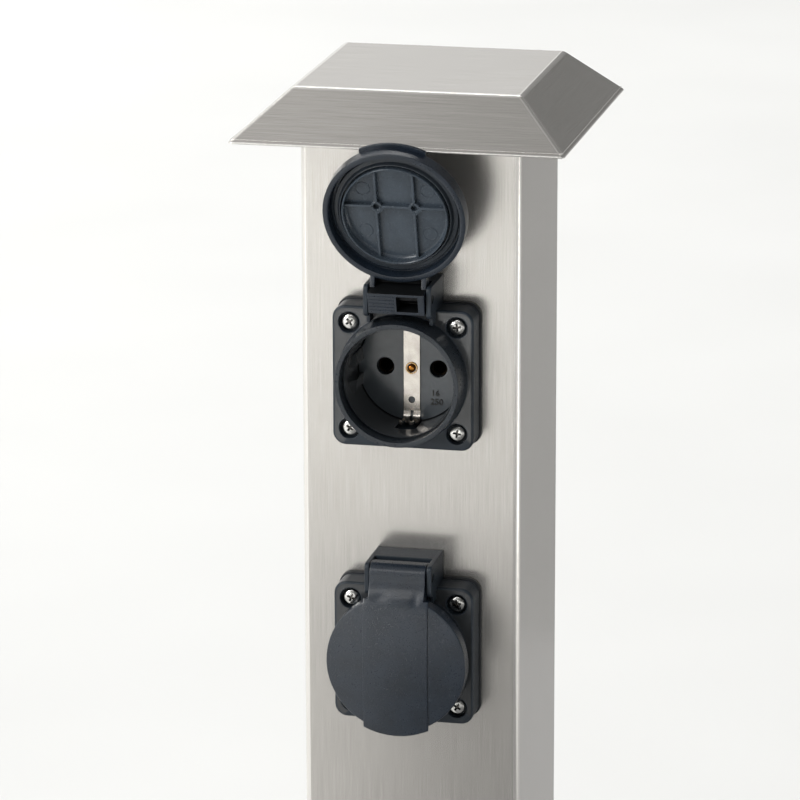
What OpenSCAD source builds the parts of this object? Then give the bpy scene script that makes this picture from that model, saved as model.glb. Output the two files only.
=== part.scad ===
// Garden socket post: a steel post with a hipped roof and two flange sockets with lids.
// Frame: +Z up, front faces -Y, origin on the post's axis at the floor. Millimetres.
// A socket is drawn in its own frame: x to the right, y up, z out of the post's front face.

/* [Post] */
// Width of the post tube, left to right
post_w = 78; // [70:1:90]
// Depth of the post tube, front to back
post_d = 70; // [68:1:84]
// Height from the floor to the top of the roof
post_h = 400; // [380:5:600]
// Thickness of the steel sheet of post and roof
sheet_t = 1.5; // [1:0.1:2]
// Outer corner radius of the post tube
post_r = 2.4; // [2.2:0.1:4]

/* [Roof] */
// Width of the roof along its lower edge
roof_w = 118; // [112:1:130]
// Width of the roof's flat top
roof_top_w = 80; // [70:1:86]
// Height of the roof
roof_h = 17.2; // [14:0.1:24]
// Width of the strip folded in along the lower edge
roof_hem = 6; // [3:0.5:9]
// Height of the spigot that locates the roof in the post
spigot_h = 30; // [20:1:40]
// Gap between the spigot and the post's inside
spigot_gap = 0.3; // [0.1:0.1:0.6]
// Distance of the roof's screws below the spigot's top
roof_screw_drop = 22; // [18:1:26]
// Distance between the roof's two screws
roof_screw_pitch = 40; // [24:1:48]

/* [Base] */
// Width of the square base plate
base_w = 140; // [136:1:160]
// Thickness of the base plate
base_t = 4; // [3:0.5:8]
// Corner radius of the base plate
base_r = 8; // [4:1:12]
// Distance between the anchor holes
anchor_pitch = 110; // [104:1:118]
// Radius of the anchor holes
anchor_r = 4.5; // [3:0.25:5]
// Radius of the cable bush's bore
bush_bore_r = 8; // [5:0.5:9]
// Wall of the cable bush
bush_wall = 3.8; // [2:0.1:5]
// Width of the cable bush's collar
bush_collar = 2.5; // [1:0.5:4]

/* [Socket places] */
// Drop from the roof's lower edge to the upper socket's centre
upper_drop = 82.8; // [78:0.1:96]
// Distance between the two sockets' centres
socket_pitch = 100; // [96:1:120]

/* [Socket flange] */
// Width and height of the square flange
flange_w = 50; // [49:0.5:54]
// Corner radius of the flange
flange_r = 4.5; // [2:0.5:6]
// Thickness of the flange
flange_t = 10.3; // [8:0.1:12]
// Thickness of the gasket behind the flange
gasket_t = 1.7; // [1:0.1:2.5]
// Distance between the fixing screws
screw_pitch = 38; // [37:0.5:39.5]
// Radius of the fixing screws' shanks
screw_r = 1.9; // [1.5:0.1:2.2]
// Radius of the fixing screws' heads
screw_head_r = 2.9; // [2.6:0.1:3.3]
// Height of the fixing screws' heads
screw_head_h = 2.1; // [1.5:0.1:2.6]
// Depth of the recess for each screw head
screw_recess = 2.8; // [1:0.1:4]
// Width across the flats of the nuts
nut_w = 7; // [6:0.5:7.5]
// Thickness of the nuts
nut_t = 3.2; // [2:0.1:4]

/* [Socket collar] */
// Distance of the collar's rim from the post
rim_f = 22.75; // [20:0.25:25]
// Outer radius of the collar at the flange
collar_base_r = 22.6; // [22.4:0.1:22.9]
// Outer radius of the collar at its rim
rim_r = 21.9; // [21.5:0.1:22.3]
// Wall of the collar's rim
rim_wall = 1.7; // [1:0.1:2]
// Depth of the wider mouth behind the rim
mouth_depth = 5; // [3:0.5:8]
// Width of the groove around the inner ring
groove_w = 0.5; // [0.2:0.1:0.7]
// Depth of the groove around the inner ring
groove_depth = 1.2; // [0.5:0.1:3]
// Radius of the plug's recess
recess_r = 19.3; // [18.8:0.1:19.4]
// Depth from the rim to the contact insert's face
recess_depth = 25.5; // [22:0.5:28]
// Wall of the barrel behind the flange
barrel_wall = 1.9; // [1.4:0.1:2.2]
// Gap between the barrel and the hole in the post
panel_gap = 0.3; // [0.2:0.1:0.6]

/* [Plug guides] */
// How far the guide ribs at the sides stand into the recess
guide_h = 1.3; // [0.5:0.1:2]
// Height of each pair of guide ribs
guide_w = 13; // [8:1:16]
// Gap in the middle of each pair
guide_gap = 4.8; // [3:0.1:7]
// Length of the guide ribs
guide_l = 14; // [6:1:18]
// Width of the notches that the earth prongs stand in
notch_w = 7.4; // [6.8:0.1:9]
// Depth of those notches past the recess
notch_depth = 1.2; // [1:0.1:1.3]
// How far those notches reach in front of the insert's face
notch_l = 11; // [10.6:0.5:14]

/* [Insert and contacts] */
// Thickness of the contact insert
insert_t = 11; // [9:0.5:14]
// Gap around the insert in its barrel
insert_gap = 0.2; // [0.1:0.05:0.4]
// Distance between the two pin holes
pin_pitch = 19; // [18.5:0.1:20]
// Radius of the pin holes
pin_hole_r = 3; // [2.9:0.1:3.2]
// Inner radius of the contact sleeves
sleeve_in_r = 2.3; // [2:0.05:2.4]
// Wall of the contact sleeves
sleeve_wall = 0.5; // [0.3:0.05:0.55]
// Width of the slot in each sleeve
sleeve_slot = 0.8; // [0.4:0.1:1.2]
// Depth from the insert's face to the sleeves
sleeve_sink = 2.4; // [1:0.1:4]
// Width of the earth strip
strip_w = 5.9; // [5:0.1:6.2]
// Thickness of the earth strip
strip_t = 0.8; // [0.5:0.1:1]
// Depth of the channel that the earth strip lies in
strip_sink = 0.5; // [0.2:0.1:0.6]
// Gap at each side of the earth strip
strip_gap = 0.2; // [0.1:0.1:0.3]
// Width of the slot between the strip's two prongs
prong_gap = 1.1; // [0.6:0.1:1.6]
// Radius of the small hole in the earth strip
strip_hole_r = 1.1; // [0.6:0.1:1.3]
// Drop of the small hole below the strip's centre
strip_hole_drop = 11.5; // [6:0.5:12]
// Radius of the earth rivet's shank
rivet_r = 1.5; // [1:0.1:1.6]
// Radius of the earth rivet's head
rivet_head_r = 2.1; // [1.9:0.1:2.6]
// Height of the earth rivet's head
rivet_head_h = 0.9; // [0.5:0.1:1.2]

/* [Rear terminals] */
// Radius of the terminal body behind the insert
rear_r = 20; // [19.6:0.1:20.6]
// Length of the terminal body
rear_l = 13; // [12.5:0.5:16]
// Width of the brass clamps
clamp_w = 6.6; // [5.6:0.1:7]
// Height of the brass clamps
clamp_h = 9; // [8:0.5:11]
// Length of the brass clamps
clamp_l = 9; // [8.5:0.5:10]
// Thickness of the terminal body in front of the clamps
clamp_web = 2.2; // [1:0.1:2.6]
// Gap around the clamps in their pockets
clamp_gap = 0.2; // [0.1:0.05:0.3]
// Radius of the clamp screws' shanks
clamp_screw_r = 1.4; // [1:0.1:1.6]
// Radius of the clamp screws' heads
clamp_head_r = 2.4; // [2:0.1:2.6]
// Height of the clamp screws' heads
clamp_head_h = 1.6; // [1:0.1:2]
// Height between the two screws of the terminal body
rear_screw_pitch = 30; // [28:0.5:31]
// Radius of those screws' shanks
rear_screw_r = 1.3; // [1:0.1:1.5]

/* [Hinge] */
// Height of the hinge's axis above the flange
hinge_rise = 5.3; // [5:0.1:6.5]
// Distance of the hinge's axis in front of the flange
hinge_out = 6; // [5.5:0.1:7]
// Radius of the hinge pin
pin_r = 1.5; // [1:0.1:2]
// Radial clearance of the lid's bore on the pin
pin_gap = 0.06; // [0.02:0.01:0.09]
// Outer width of the hood
hood_w = 23.8; // [22:0.2:26]
// Thickness of the hood's cheeks and top
cheek_t = 1.7; // [1.2:0.1:2.4]
// Height of the hood's top above the hinge's axis
hood_rise = 4.7; // [4.4:0.1:6]
// Reach of the cheeks in front of the hinge's axis
hood_front = 3; // [2.5:0.1:3.6]
// Overlap of the cheeks with the flange's edge
cheek_drop = 1.3; // [0.8:0.1:2]
// Radius of the cheeks' front corners
cheek_r = 1.8; // [0.8:0.1:2.4]
// Gap between the cheeks and the lid's knuckle
cheek_gap = 0.3; // [0.2:0.05:0.5]

/* [Lid] */
// Gap between the closed lid's seal and the rim
seal_gap = 0.3; // [0.2:0.05:0.6]
// Thickness of the lid's seal
seal_t = 0.95; // [0.6:0.05:1.2]
// Thickness of the lid's disc
lid_t = 2.25; // [1.8:0.05:3]
// Gap between the lid's skirt and the collar's base
skirt_gap = 0.3; // [0.2:0.05:0.5]
// Wall of the lid's skirt
skirt_wall = 1.5; // [1:0.1:1.8]
// Depth of the lid's skirt
skirt_depth = 7; // [5:0.1:7.4]
// Rounding of the lid's outer edge
lid_edge_r = 1; // [0.5:0.1:1.4]
// Width of the raised band down the lid's middle
band_w = 23.2; // [22:0.2:24]
// Height of the raised band
band_h = 0.35; // [0.2:0.05:0.6]
// How far the thumb tab stands out past the lid
thumb_out = 2; // [1:0.1:3]
// Thickness of the thumb tab
thumb_t = 2.6; // [1.5:0.1:4]
// Thickness of the lid's arm
arm_t = 2; // [1.5:0.1:2.4]
// Reach of the arm in front of the hinge's axis
arm_reach = 4.15; // [3.8:0.05:4.3]
// Height of the arm's top above the hinge's axis
arm_rise = 4.85; // [4.2:0.05:5]
// Height of the knuckle's back above the hinge's axis
knuckle_rise = 4.1; // [3.6:0.1:4.3]
// Drop of the knuckle below the hinge's axis
knuckle_drop = 3.9; // [3.4:0.1:4.2]
// Reach of the knuckle behind the hinge's axis
knuckle_back = 4.6; // [4:0.1:4.8]
// Width of the window in the knuckle
window_w = 7.6; // [4:0.1:8]
// Height of the window in the knuckle
window_h = 5.9; // [4:0.1:6.2]
// Inner radius of the ring inside the lid
ring_in_r = 17; // [15:0.1:17.3]
// Wall of the ring inside the lid
ring_wall = 1; // [0.6:0.1:1.1]
// Height of the ring inside the lid
ring_h = 3.6; // [2:0.1:4]
// Height of the ribs inside the lid
rib_h = 1.4; // [0.6:0.1:2]
// Thickness of the ribs inside the lid
rib_t = 0.9; // [0.6:0.1:1.5]
// Distance between the two upright ribs
rib_pitch = 13.2; // [8:0.1:18]
// Drop of the cross rib below the lid's centre
rib_drop = 2.7; // [0:0.1:6]
// Radius of the two small bosses on the ribs
boss_r = 1.95; // [1.5:0.05:2.5]
// Radius of the hole in each boss
boss_hole_r = 1.1; // [0.5:0.05:1.2]
// Gap between the open upper lid and the roof's edge
roof_lean_gap = 0.5; // [0.3:0.1:2]

/* [Wiring] */
// Height of the terminal strip's middle above the floor
terminal_z = 70; // [60:1:90]
// Distance between the terminal strip's poles
pole_pitch = 8; // [7.6:0.1:9]
// Height of the terminal strip
terminal_h = 24; // [20:1:30]
// Depth of the terminal strip
terminal_d = 16; // [14:0.5:18]
// Width of the fixing lug at each end of the strip
terminal_lug = 6; // [5:0.5:7]
// Radius of the insulated wires
wire_r = 1.5; // [1:0.1:1.7]
// Radius of the earth stud
stud_r = 3; // [2:0.5:4]
// Height of the earth stud above the base plate
stud_h = 16; // [14:1:24]
// Distance of the earth stud to the right of the post's axis
stud_x = 26; // [24:1:28]

/* [Hidden] */

$fn = 72;
eps = 0.01;
cut = 1;

steel = "#c9c6bf";
dark_plastic = "#464c52";
rubber = "#24272a";
nickel = "#cfc8bb";
brass = "#b98a3c";
chrome = "#d9dadc";
grey_plastic = "#8d9092";
brown_wire = "#5d3a22";
blue_wire = "#2f5fa8";
green_wire = "#5a8f2e";

// Heights in the post's frame
roof_z = post_h - roof_h;
ceiling_z = post_h - sheet_t;
upper_z = roof_z - upper_drop;
lower_z = upper_z - socket_pitch;

// The roof's slope and where the post's top fits under it
roof_run = (roof_w - roof_top_w) / 2;
roof_slope = atan2(roof_h, roof_run);
slope_t = sheet_t / sin(roof_slope);
roof_fit = (roof_w / 2 - slope_t - max(post_w, post_d) / 2 - spigot_gap) * roof_h / roof_run;
tube_top_z = roof_z + min(roof_h - sheet_t, roof_fit);
spigot_w = post_w - 2 * sheet_t - 2 * spigot_gap;
spigot_d = post_d - 2 * sheet_t - 2 * spigot_gap;
spigot_top_z = min(ceiling_z, tube_top_z);
spigot_r = post_r - sheet_t;
roof_screw_z = spigot_top_z - roof_screw_drop;
roof_screw_r = 2;
roof_screw_gap = 0.2;
roof_screw_head_r = 3.8;
roof_screw_head_h = 2.4;
roof_screw_tail = 5;

// Depths in a socket's frame, out of the post's front face
flange_f = gasket_t + flange_t;
face_f = rim_f - recess_depth;
insert_back_f = face_f - insert_t;
rear_f = insert_back_f - rear_l;
screw_seat_f = flange_f - screw_recess;
nut_f = -sheet_t - nut_t;
screw_tail = 1.5;
hood_back_f = 0.3;
hinge_f = flange_f + hinge_out;
seal_f = rim_f + seal_gap;
lid_floor_f = seal_f + seal_t;
lid_f = lid_floor_f + lid_t;
band_f = lid_f + band_h;
skirt_f = lid_f - skirt_depth;
arm_f = hinge_f + arm_reach;

// Radii and widths in a socket's frame
rim_in_r = rim_r - rim_wall;
barrel_r = recess_r + barrel_wall;
panel_r = barrel_r + panel_gap;
insert_r = recess_r - insert_gap;
screw_gap = 0.3;
screw_recess_gap = 0.75;
gasket_lip = 0.6;
skirt_in_r = collar_base_r + skirt_gap;
lid_r = skirt_in_r + skirt_wall;
thumb_r = lid_r + thumb_out;
seal_in_r = ring_in_r + ring_wall + 0.2;
seal_out_r = skirt_in_r - 0.4;
sleeve_r = sleeve_in_r + sleeve_wall;

// Heights in a socket's frame
hinge_y = flange_w / 2 + hinge_rise;
hood_top_y = hinge_y + hood_rise;
cheek_y = flange_w / 2 - cheek_drop;
knuckle_w = hood_w - 2 * cheek_t - 2 * cheek_gap;
slope_low_y = 19;
slope_top_y = hinge_y - 3.3;
window_x = 0.1;

// The knuckle's corners pass under the hood's top at this radius
swing_r = max(norm([arm_rise, arm_reach]), norm([knuckle_rise, knuckle_back]));
swing_gap = 0.6;
hood_top_f = hinge_f - swing_r - swing_gap;

// The upper lid leans over until its band stands roof_lean_gap from the roof's lower edge
lean_y = upper_drop - hinge_y;
lean_f = roof_w / 2 - post_d / 2 - hinge_f;
lean = atan2(lean_f, lean_y) + asin((band_f - hinge_f + roof_lean_gap) / norm([lean_y, lean_f]));
lid_open = 180 - lean;
echo(lid_open = lid_open);

// The brass clamps and their wires
clamp_f = insert_back_f - clamp_web;
clamp_back_f = clamp_f - clamp_l;
wire_f = clamp_f - clamp_l / 2 + 0.3;
wire_bore_r = 1;
clamp_screw_tip_f = wire_f - wire_bore_r;
rivet_tail_f = clamp_f;

// The earth strip's line, from its middle to the tip of a prong: height up, then distance out
strip_mid_f = face_f - strip_sink + strip_t / 2;
prong_line = [[0, 0], [16.6, 0], [18.2, 1.2], [18.9, 3.4], [17.9, 6.6], [16.6, 8.6], [17.4, 10.2]];
prong_root_y = 15.4;

// The terminal strip, in the post's frame
wall_y = post_d / 2 - sheet_t;
terminal_w = 6 * pole_pitch + 2 * terminal_lug;
terminal_y = wall_y - terminal_d;
bar_gap = 0.2;
bar_w = 2 * pole_pitch - 2.4;
bar_h = terminal_h - 6;
bar_d = 6;
bar_wall = 4;
bar_y = wall_y - bar_wall - bar_d;
bar_mid_y = bar_y + bar_d / 2;
bar_screw_r = 1.4;
bar_head_r = 2.3;
bar_head_h = 1.5;
strip_screw_r = 1.5;
strip_head_r = 2.6;
strip_head_h = 1.8;
hole_gap = 0.05;

// The earth stud and what it holds
washer_r = stud_r + 3;
washer_t = 1.2;
lug_r = stud_r + 2.5;
lug_t = 1.5;
lug_l = 8;
lug_z = base_t + 1 + washer_t;
stud_nut_w = 2 * stud_r + 4;
stud_nut_t = stud_r + 1.5;
bush_r = bush_bore_r + bush_wall;
bush_gap = 0.2;
bush_collar_t = 2;
bush_lift = 0.5;

// The wires run straight out of a pole and into a clamp, and bend smoothly between
wire_sides = 8;
wire_steps = 14;
pole_lead = (terminal_h - bar_h) / 2 + 1;
clamp_lead = rear_r - clamp_h / 2 + 1;
lower_leave = 25;
lower_arrive = 35;
upper_leave = 140;
upper_arrive = 50;

// A rectangle with round corners, about its middle
module rounded_rect(w, h, r) {
    square([w - 2 * r, h], center = true);
    square([w, h - 2 * r], center = true);
    for (x = [-1, 1], y = [-1, 1])
        translate([x * (w / 2 - r), y * (h / 2 - r)]) circle(r);
}

// The four corners of a square pattern
module at_corners(pitch) {
    for (x = [-1, 1], y = [-1, 1])
        translate([x * pitch / 2, y * pitch / 2, 0]) children();
}

// Turns a socket's frame to the post's front face, at height z
module at_socket(z) {
    translate([0, -post_d / 2, z]) rotate([90, 0, 0]) children();
}

// A profile of (out, up) points as a prism from x0 to x1, in a socket's frame
module across(x0, x1) {
    translate([x1, 0, 0]) rotate([0, -90, 0]) linear_extrude(x1 - x0) children();
}

// Turns the lid about its hinge
module swing(angle) {
    translate([0, hinge_y, hinge_f]) rotate([-angle, 0, 0])
        translate([0, -hinge_y, -hinge_f]) children();
}

// A tube from z0 to z1
module ring(outer_r, inner_r, z0, z1) {
    translate([0, 0, z0]) difference() {
        cylinder(h = z1 - z0, r = outer_r);
        translate([0, 0, -cut]) cylinder(h = z1 - z0 + 2 * cut, r = inner_r);
    }
}

// A hexagon prism, given its width across the flats
module hex_prism(flats, h) {
    cylinder(h = h, r = flats / 2 / cos(30), $fn = 6);
}

// Points on an arc
function arc(centre, r, from, to, steps = 6) =
    [for (i = [0:steps]) let (a = from + (to - from) * i / steps) centre + r * [cos(a), sin(a)]];

// A line of points given a thickness, as one closed outline
function unit(v) = v / norm(v);
function line_side(p, i) =
    let (
        before = i == 0 ? unit(p[1] - p[0]) : unit(p[i] - p[i - 1]),
        after = i == len(p) - 1 ? before : unit(p[i + 1] - p[i]),
        middle = unit(before + after)
    ) [-middle[1], middle[0]] / (middle * before);
function ribbon(p, t) = concat(
    [for (i = [0:len(p) - 1]) p[i] + line_side(p, i) * t / 2],
    [for (i = [len(p) - 1:-1:0]) p[i] - line_side(p, i) * t / 2]);

// A smooth route between two points that leaves and arrives along the given handles
function bezier(a, b, c, d, u) =
    pow(1 - u, 3) * a + 3 * pow(1 - u, 2) * u * b + 3 * (1 - u) * u * u * c + pow(u, 3) * d;
function route(start, leave, arrive, end) =
    [for (i = [0:wire_steps]) bezier(start, start + leave, end - arrive, end, i / wire_steps)];

// The same with a straight lead at each end
function led_route(start, lead_out, leave, arrive, lead_in, end) =
    concat([start], route(start + lead_out, leave, arrive, end - lead_in), [end]);

// A round wire along a route
function heading(p, i) = unit(p[min(i + 1, len(p) - 1)] - p[max(i - 1, 0)]);
module wire(p, first, last) {
    n = len(p);
    points = [for (i = [0:n - 1]) let (
        t = i == 0 ? unit(first) : i == n - 1 ? unit(last) : heading(p, i),
        u = unit(cross([1, 0.2, 0], t)),
        v = cross(t, u)
    ) for (j = [0:wire_sides - 1]) let (a = 360 * j / wire_sides)
        p[i] + wire_r * (cos(a) * u + sin(a) * v)];
    sides = [for (i = [0:n - 2], j = [0:wire_sides - 1]) let (
        k = (j + 1) % wire_sides
    ) [i * wire_sides + j, (i + 1) * wire_sides + j,
       (i + 1) * wire_sides + k, i * wire_sides + k]];
    ends = [[for (j = [0:wire_sides - 1]) j],
            [for (j = [wire_sides - 1:-1:0]) (n - 1) * wire_sides + j]];
    polyhedron(points, concat(sides, ends));
}

// Post, roof and base

module post_tube() color(steel) difference() {
    translate([0, 0, base_t]) linear_extrude(tube_top_z - base_t) rounded_rect(post_w, post_d, post_r);
    translate([0, 0, base_t - cut]) linear_extrude(tube_top_z - base_t + 2 * cut)
        rounded_rect(post_w - 2 * sheet_t, post_d - 2 * sheet_t, post_r - sheet_t);
    for (z = [upper_z, lower_z]) at_socket(z) translate([0, 0, -2 * sheet_t]) {
        cylinder(h = 3 * sheet_t, r = panel_r);
        at_corners(screw_pitch) cylinder(h = 3 * sheet_t, r = screw_r + screw_gap);
    }
    for (x = [-1, 1]) {
        translate([x * roof_screw_pitch / 2, wall_y - cut, roof_screw_z]) rotate([-90, 0, 0])
            cylinder(h = sheet_t + 2 * cut, r = roof_screw_r + roof_screw_gap);
        translate([x * (terminal_w - terminal_lug) / 2, wall_y - cut, terminal_z]) rotate([-90, 0, 0])
            cylinder(h = sheet_t + 2 * cut, r = strip_screw_r + hole_gap);
    }
}

// A four-sided frustum from its lower and upper width, made of two crossed prisms
module frustum(low_w, top_w, h) {
    outline = [[-low_w / 2, 0], [low_w / 2, 0], [top_w / 2, h], [-top_w / 2, h]];
    intersection() {
        rotate([90, 0, 0]) translate([0, 0, -low_w / 2]) linear_extrude(low_w) polygon(outline);
        rotate([90, 0, 90]) translate([0, 0, -low_w / 2]) linear_extrude(low_w) polygon(outline);
    }
}

module roof_cap() color(steel) {
    inner_h = roof_h - sheet_t;
    low_w = roof_w - 2 * slope_t;
    hem_w = roof_w - 2 * roof_hem;
    translate([0, 0, roof_z]) difference() {
        frustum(roof_w, roof_top_w, roof_h);
        translate([0, 0, sheet_t])
            frustum(low_w - 2 * sheet_t * roof_run / roof_h, low_w - 2 * inner_h * roof_run / roof_h,
                inner_h - sheet_t);
        translate([0, 0, -cut]) linear_extrude(2 * sheet_t + cut) square(hem_w, center = true);
    }
}

module roof_spigot() color(steel) difference() {
    translate([0, 0, spigot_top_z - spigot_h]) linear_extrude(spigot_h)
        rounded_rect(spigot_w, spigot_d, spigot_r);
    translate([0, 0, spigot_top_z - spigot_h - cut]) linear_extrude(spigot_h + 2 * cut)
        square([spigot_w - 2 * sheet_t, spigot_d - 2 * sheet_t], center = true);
    for (x = [-1, 1])
        translate([x * roof_screw_pitch / 2, spigot_d / 2 - 2 * sheet_t, roof_screw_z])
            rotate([-90, 0, 0]) cylinder(h = 3 * sheet_t, r = roof_screw_r + hole_gap);
}

module roof_screws() color(chrome) for (x = [-1, 1])
    translate([x * roof_screw_pitch / 2, post_d / 2, roof_screw_z]) rotate([90, 0, 0]) {
        length = 2 * sheet_t + spigot_gap + roof_screw_tail;
        cylinder(h = length, r = roof_screw_r);
        mirror([0, 0, 1]) difference() {
            cylinder(h = roof_screw_head_h, r1 = roof_screw_head_r, r2 = roof_screw_head_r * 0.75);
            cross_recess(roof_screw_head_r * 0.6, roof_screw_head_h);
        }
    }

module base_plate() color(steel) difference() {
    linear_extrude(base_t) rounded_rect(base_w, base_w, base_r);
    translate([0, 0, -cut]) {
        at_corners(anchor_pitch) cylinder(h = base_t + 2 * cut, r = anchor_r);
        cylinder(h = base_t + 2 * cut, r = bush_r + bush_gap);
    }
}

module cable_bush() color(rubber) difference() {
    union() {
        translate([0, 0, bush_lift]) cylinder(h = base_t - bush_lift + bush_collar_t, r = bush_r);
        translate([0, 0, base_t]) cylinder(h = bush_collar_t, r = bush_r + bush_collar);
    }
    cylinder(h = base_t + bush_collar_t + cut, r = bush_bore_r);
}

// Terminal strip inside the post

module at_bars() {
    for (i = [-1:1]) translate([i * 2 * pole_pitch, 0, 0]) children();
}

module at_poles() {
    at_bars() for (x = [-1, 1]) translate([x * pole_pitch / 2, 0, 0]) children();
}

module terminal_strip() color(grey_plastic) difference() {
    translate([-terminal_w / 2, terminal_y, terminal_z - terminal_h / 2])
        cube([terminal_w, terminal_d, terminal_h]);
    at_bars() translate([-bar_w / 2 - bar_gap, terminal_y - cut, terminal_z - bar_h / 2 - bar_gap])
        cube([bar_w + 2 * bar_gap, terminal_d - bar_wall + cut, bar_h + 2 * bar_gap]);
    at_poles() translate([0, bar_mid_y, terminal_z - terminal_h / 2 - cut])
        cylinder(h = terminal_h + 2 * cut, r = wire_r + bar_gap);
    for (x = [-1, 1])
        translate([x * (terminal_w - terminal_lug) / 2, terminal_y - cut, terminal_z])
            rotate([-90, 0, 0]) cylinder(h = terminal_d + 2 * cut, r = strip_screw_r + bar_gap);
}

module terminal_bars() color(brass) at_bars() difference() {
    translate([-bar_w / 2, bar_y, terminal_z - bar_h / 2]) cube([bar_w, bar_d, bar_h]);
    for (x = [-1, 1]) translate([x * pole_pitch / 2, 0, 0]) {
        translate([0, bar_mid_y, terminal_z - bar_h / 2 - cut])
            cylinder(h = bar_h + 2 * cut, r = wire_bore_r);
        for (z = [-1, 1]) translate([0, bar_y - cut, terminal_z + z * bar_h / 4])
            rotate([-90, 0, 0]) cylinder(h = bar_d / 2 + cut, r = bar_screw_r + hole_gap);
    }
}

module terminal_screws() color(chrome) at_poles() for (z = [-1, 1])
    translate([0, bar_y, terminal_z + z * bar_h / 4]) rotate([-90, 0, 0]) {
        cylinder(h = bar_d / 2 - wire_bore_r, r = bar_screw_r);
        translate([0, 0, -bar_head_h]) difference() {
            cylinder(h = bar_head_h, r = bar_head_r);
            translate([-bar_head_r - cut, -0.4, -cut]) cube([2 * bar_head_r + 2 * cut, 0.8, cut + 0.8]);
        }
    }

module strip_screws() color(chrome) for (x = [-1, 1])
    translate([x * (terminal_w - terminal_lug) / 2, terminal_y, terminal_z]) rotate([-90, 0, 0]) {
        cylinder(h = terminal_d + sheet_t, r = strip_screw_r);
        translate([0, 0, -strip_head_h]) difference() {
            cylinder(h = strip_head_h, r = strip_head_r);
            translate([0, 0, -cut]) linear_extrude(cut + 1) cross_shape(strip_head_r * 0.6);
        }
    }

// Earth stud on the base plate

module at_stud() {
    translate([stud_x, 0, 0]) children();
}

module earth_stud() color(steel) at_stud() {
    translate([0, 0, base_t]) cylinder(h = stud_h, r = stud_r);
    translate([0, 0, base_t]) cylinder(h = 1, r = stud_r + 1.5);
}

module earth_washer() color(chrome) at_stud()
    ring(washer_r, stud_r + 0.2, base_t + 1, lug_z);

module earth_lug() color(nickel) at_stud() difference() {
    union() {
        translate([0, 0, lug_z]) cylinder(h = lug_t, r = lug_r);
        translate([-wire_r - 0.6, 0, lug_z]) cube([2 * wire_r + 1.2, lug_r + lug_l, lug_t]);
        translate([0, lug_r + lug_l / 3, lug_z + wire_r + 0.6]) rotate([-90, 0, 0])
            cylinder(h = lug_l * 2 / 3, r = wire_r + 0.6);
    }
    translate([0, 0, lug_z - cut]) cylinder(h = lug_t + 2 * cut, r = stud_r + 0.1);
}

module earth_nut() color(chrome) at_stud() translate([0, 0, lug_z + lug_t]) difference() {
    hex_prism(stud_nut_w, stud_nut_t);
    translate([0, 0, -cut]) cylinder(h = stud_nut_t + 2 * cut, r = stud_r + hole_gap);
}

module bond_wire() color(green_wire) {
    start = [stud_x, lug_r + lug_l, lug_z + wire_r + 0.6];
    end = [pole_pitch / 2, bar_mid_y, terminal_z - bar_h / 2];
    wire(route(start, [0, 9, 0], [0, 0, 28], end), [0, 1, 0], [0, 0, 1]);
}

// Socket: fixed parts

// The terminal body's two screws, each midway between two wires
module at_body_screws() {
    for (s = [-1, 1]) translate([s * pin_pitch / 4, -s * rear_screw_pitch / 2, 0]) children();
}

// A cross for a screwdriver, and the same cut into a head
module cross_shape(r) {
    arm = r * 0.36;
    square([2 * r, 2 * arm], center = true);
    square([2 * arm, 2 * r], center = true);
}
module cross_recess(r, head_h) {
    translate([0, 0, head_h * 0.4]) linear_extrude(head_h) cross_shape(r);
}

module cheek_outline() {
    front = hinge_f + hood_front;
    polygon(concat(
        [[hood_back_f, cheek_y]],
        arc([front - cheek_r, cheek_y + cheek_r], cheek_r, -90, 0),
        arc([front - cheek_r, hood_top_y - cheek_r], cheek_r, 0, 90),
        [[hood_back_f, hood_top_y]]));
}

module hood() {
    half = hood_w / 2;
    for (x0 = [-half, half - cheek_t]) difference() {
        across(x0, x0 + cheek_t) cheek_outline();
        translate([x0 - cut, hinge_y, hinge_f]) rotate([0, 90, 0])
            cylinder(h = cheek_t + 2 * cut, r = pin_r + hole_gap);
    }
    inner = half - cheek_t;
    across(-inner - eps, inner + eps)
        translate([hood_back_f, hood_top_y - cheek_t]) square([hood_top_f - hood_back_f, cheek_t]);
    across(-inner - eps, inner + eps)
        translate([hood_back_f, cheek_y]) square([cheek_t, hood_top_y - cheek_y]);
    // Web that ties the cheeks to the flange's upper edge
    across(-half, half)
        translate([gasket_t, cheek_y]) square([flange_t - 1, flange_w / 2 - cheek_y + 0.6]);
}

module recess_hollow() {
    translate([0, 0, insert_back_f - cut])
        cylinder(h = rim_f - insert_back_f + 2 * cut, r = recess_r);
    translate([0, 0, rim_f - mouth_depth]) cylinder(h = mouth_depth + cut, r = rim_in_r);
    ring(rim_in_r, rim_in_r - groove_w, rim_f - mouth_depth - groove_depth, rim_f - mouth_depth + eps);
    translate([-notch_w / 2, -recess_r - notch_depth, insert_back_f - cut])
        cube([notch_w, 2 * recess_r + 2 * notch_depth, face_f - insert_back_f + notch_l + cut]);
}

module plug_guides() {
    reach = recess_r - guide_h;
    intersection() {
        translate([0, 0, face_f]) cylinder(h = guide_l, r = recess_r + 0.3);
        for (x = [-1, 1], y = [-1, 1])
            translate([x * (reach + guide_h), y * (guide_w + guide_gap) / 4, face_f + guide_l / 2])
                cube([2 * guide_h, (guide_w - guide_gap) / 2, guide_l], center = true);
    }
}

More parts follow.
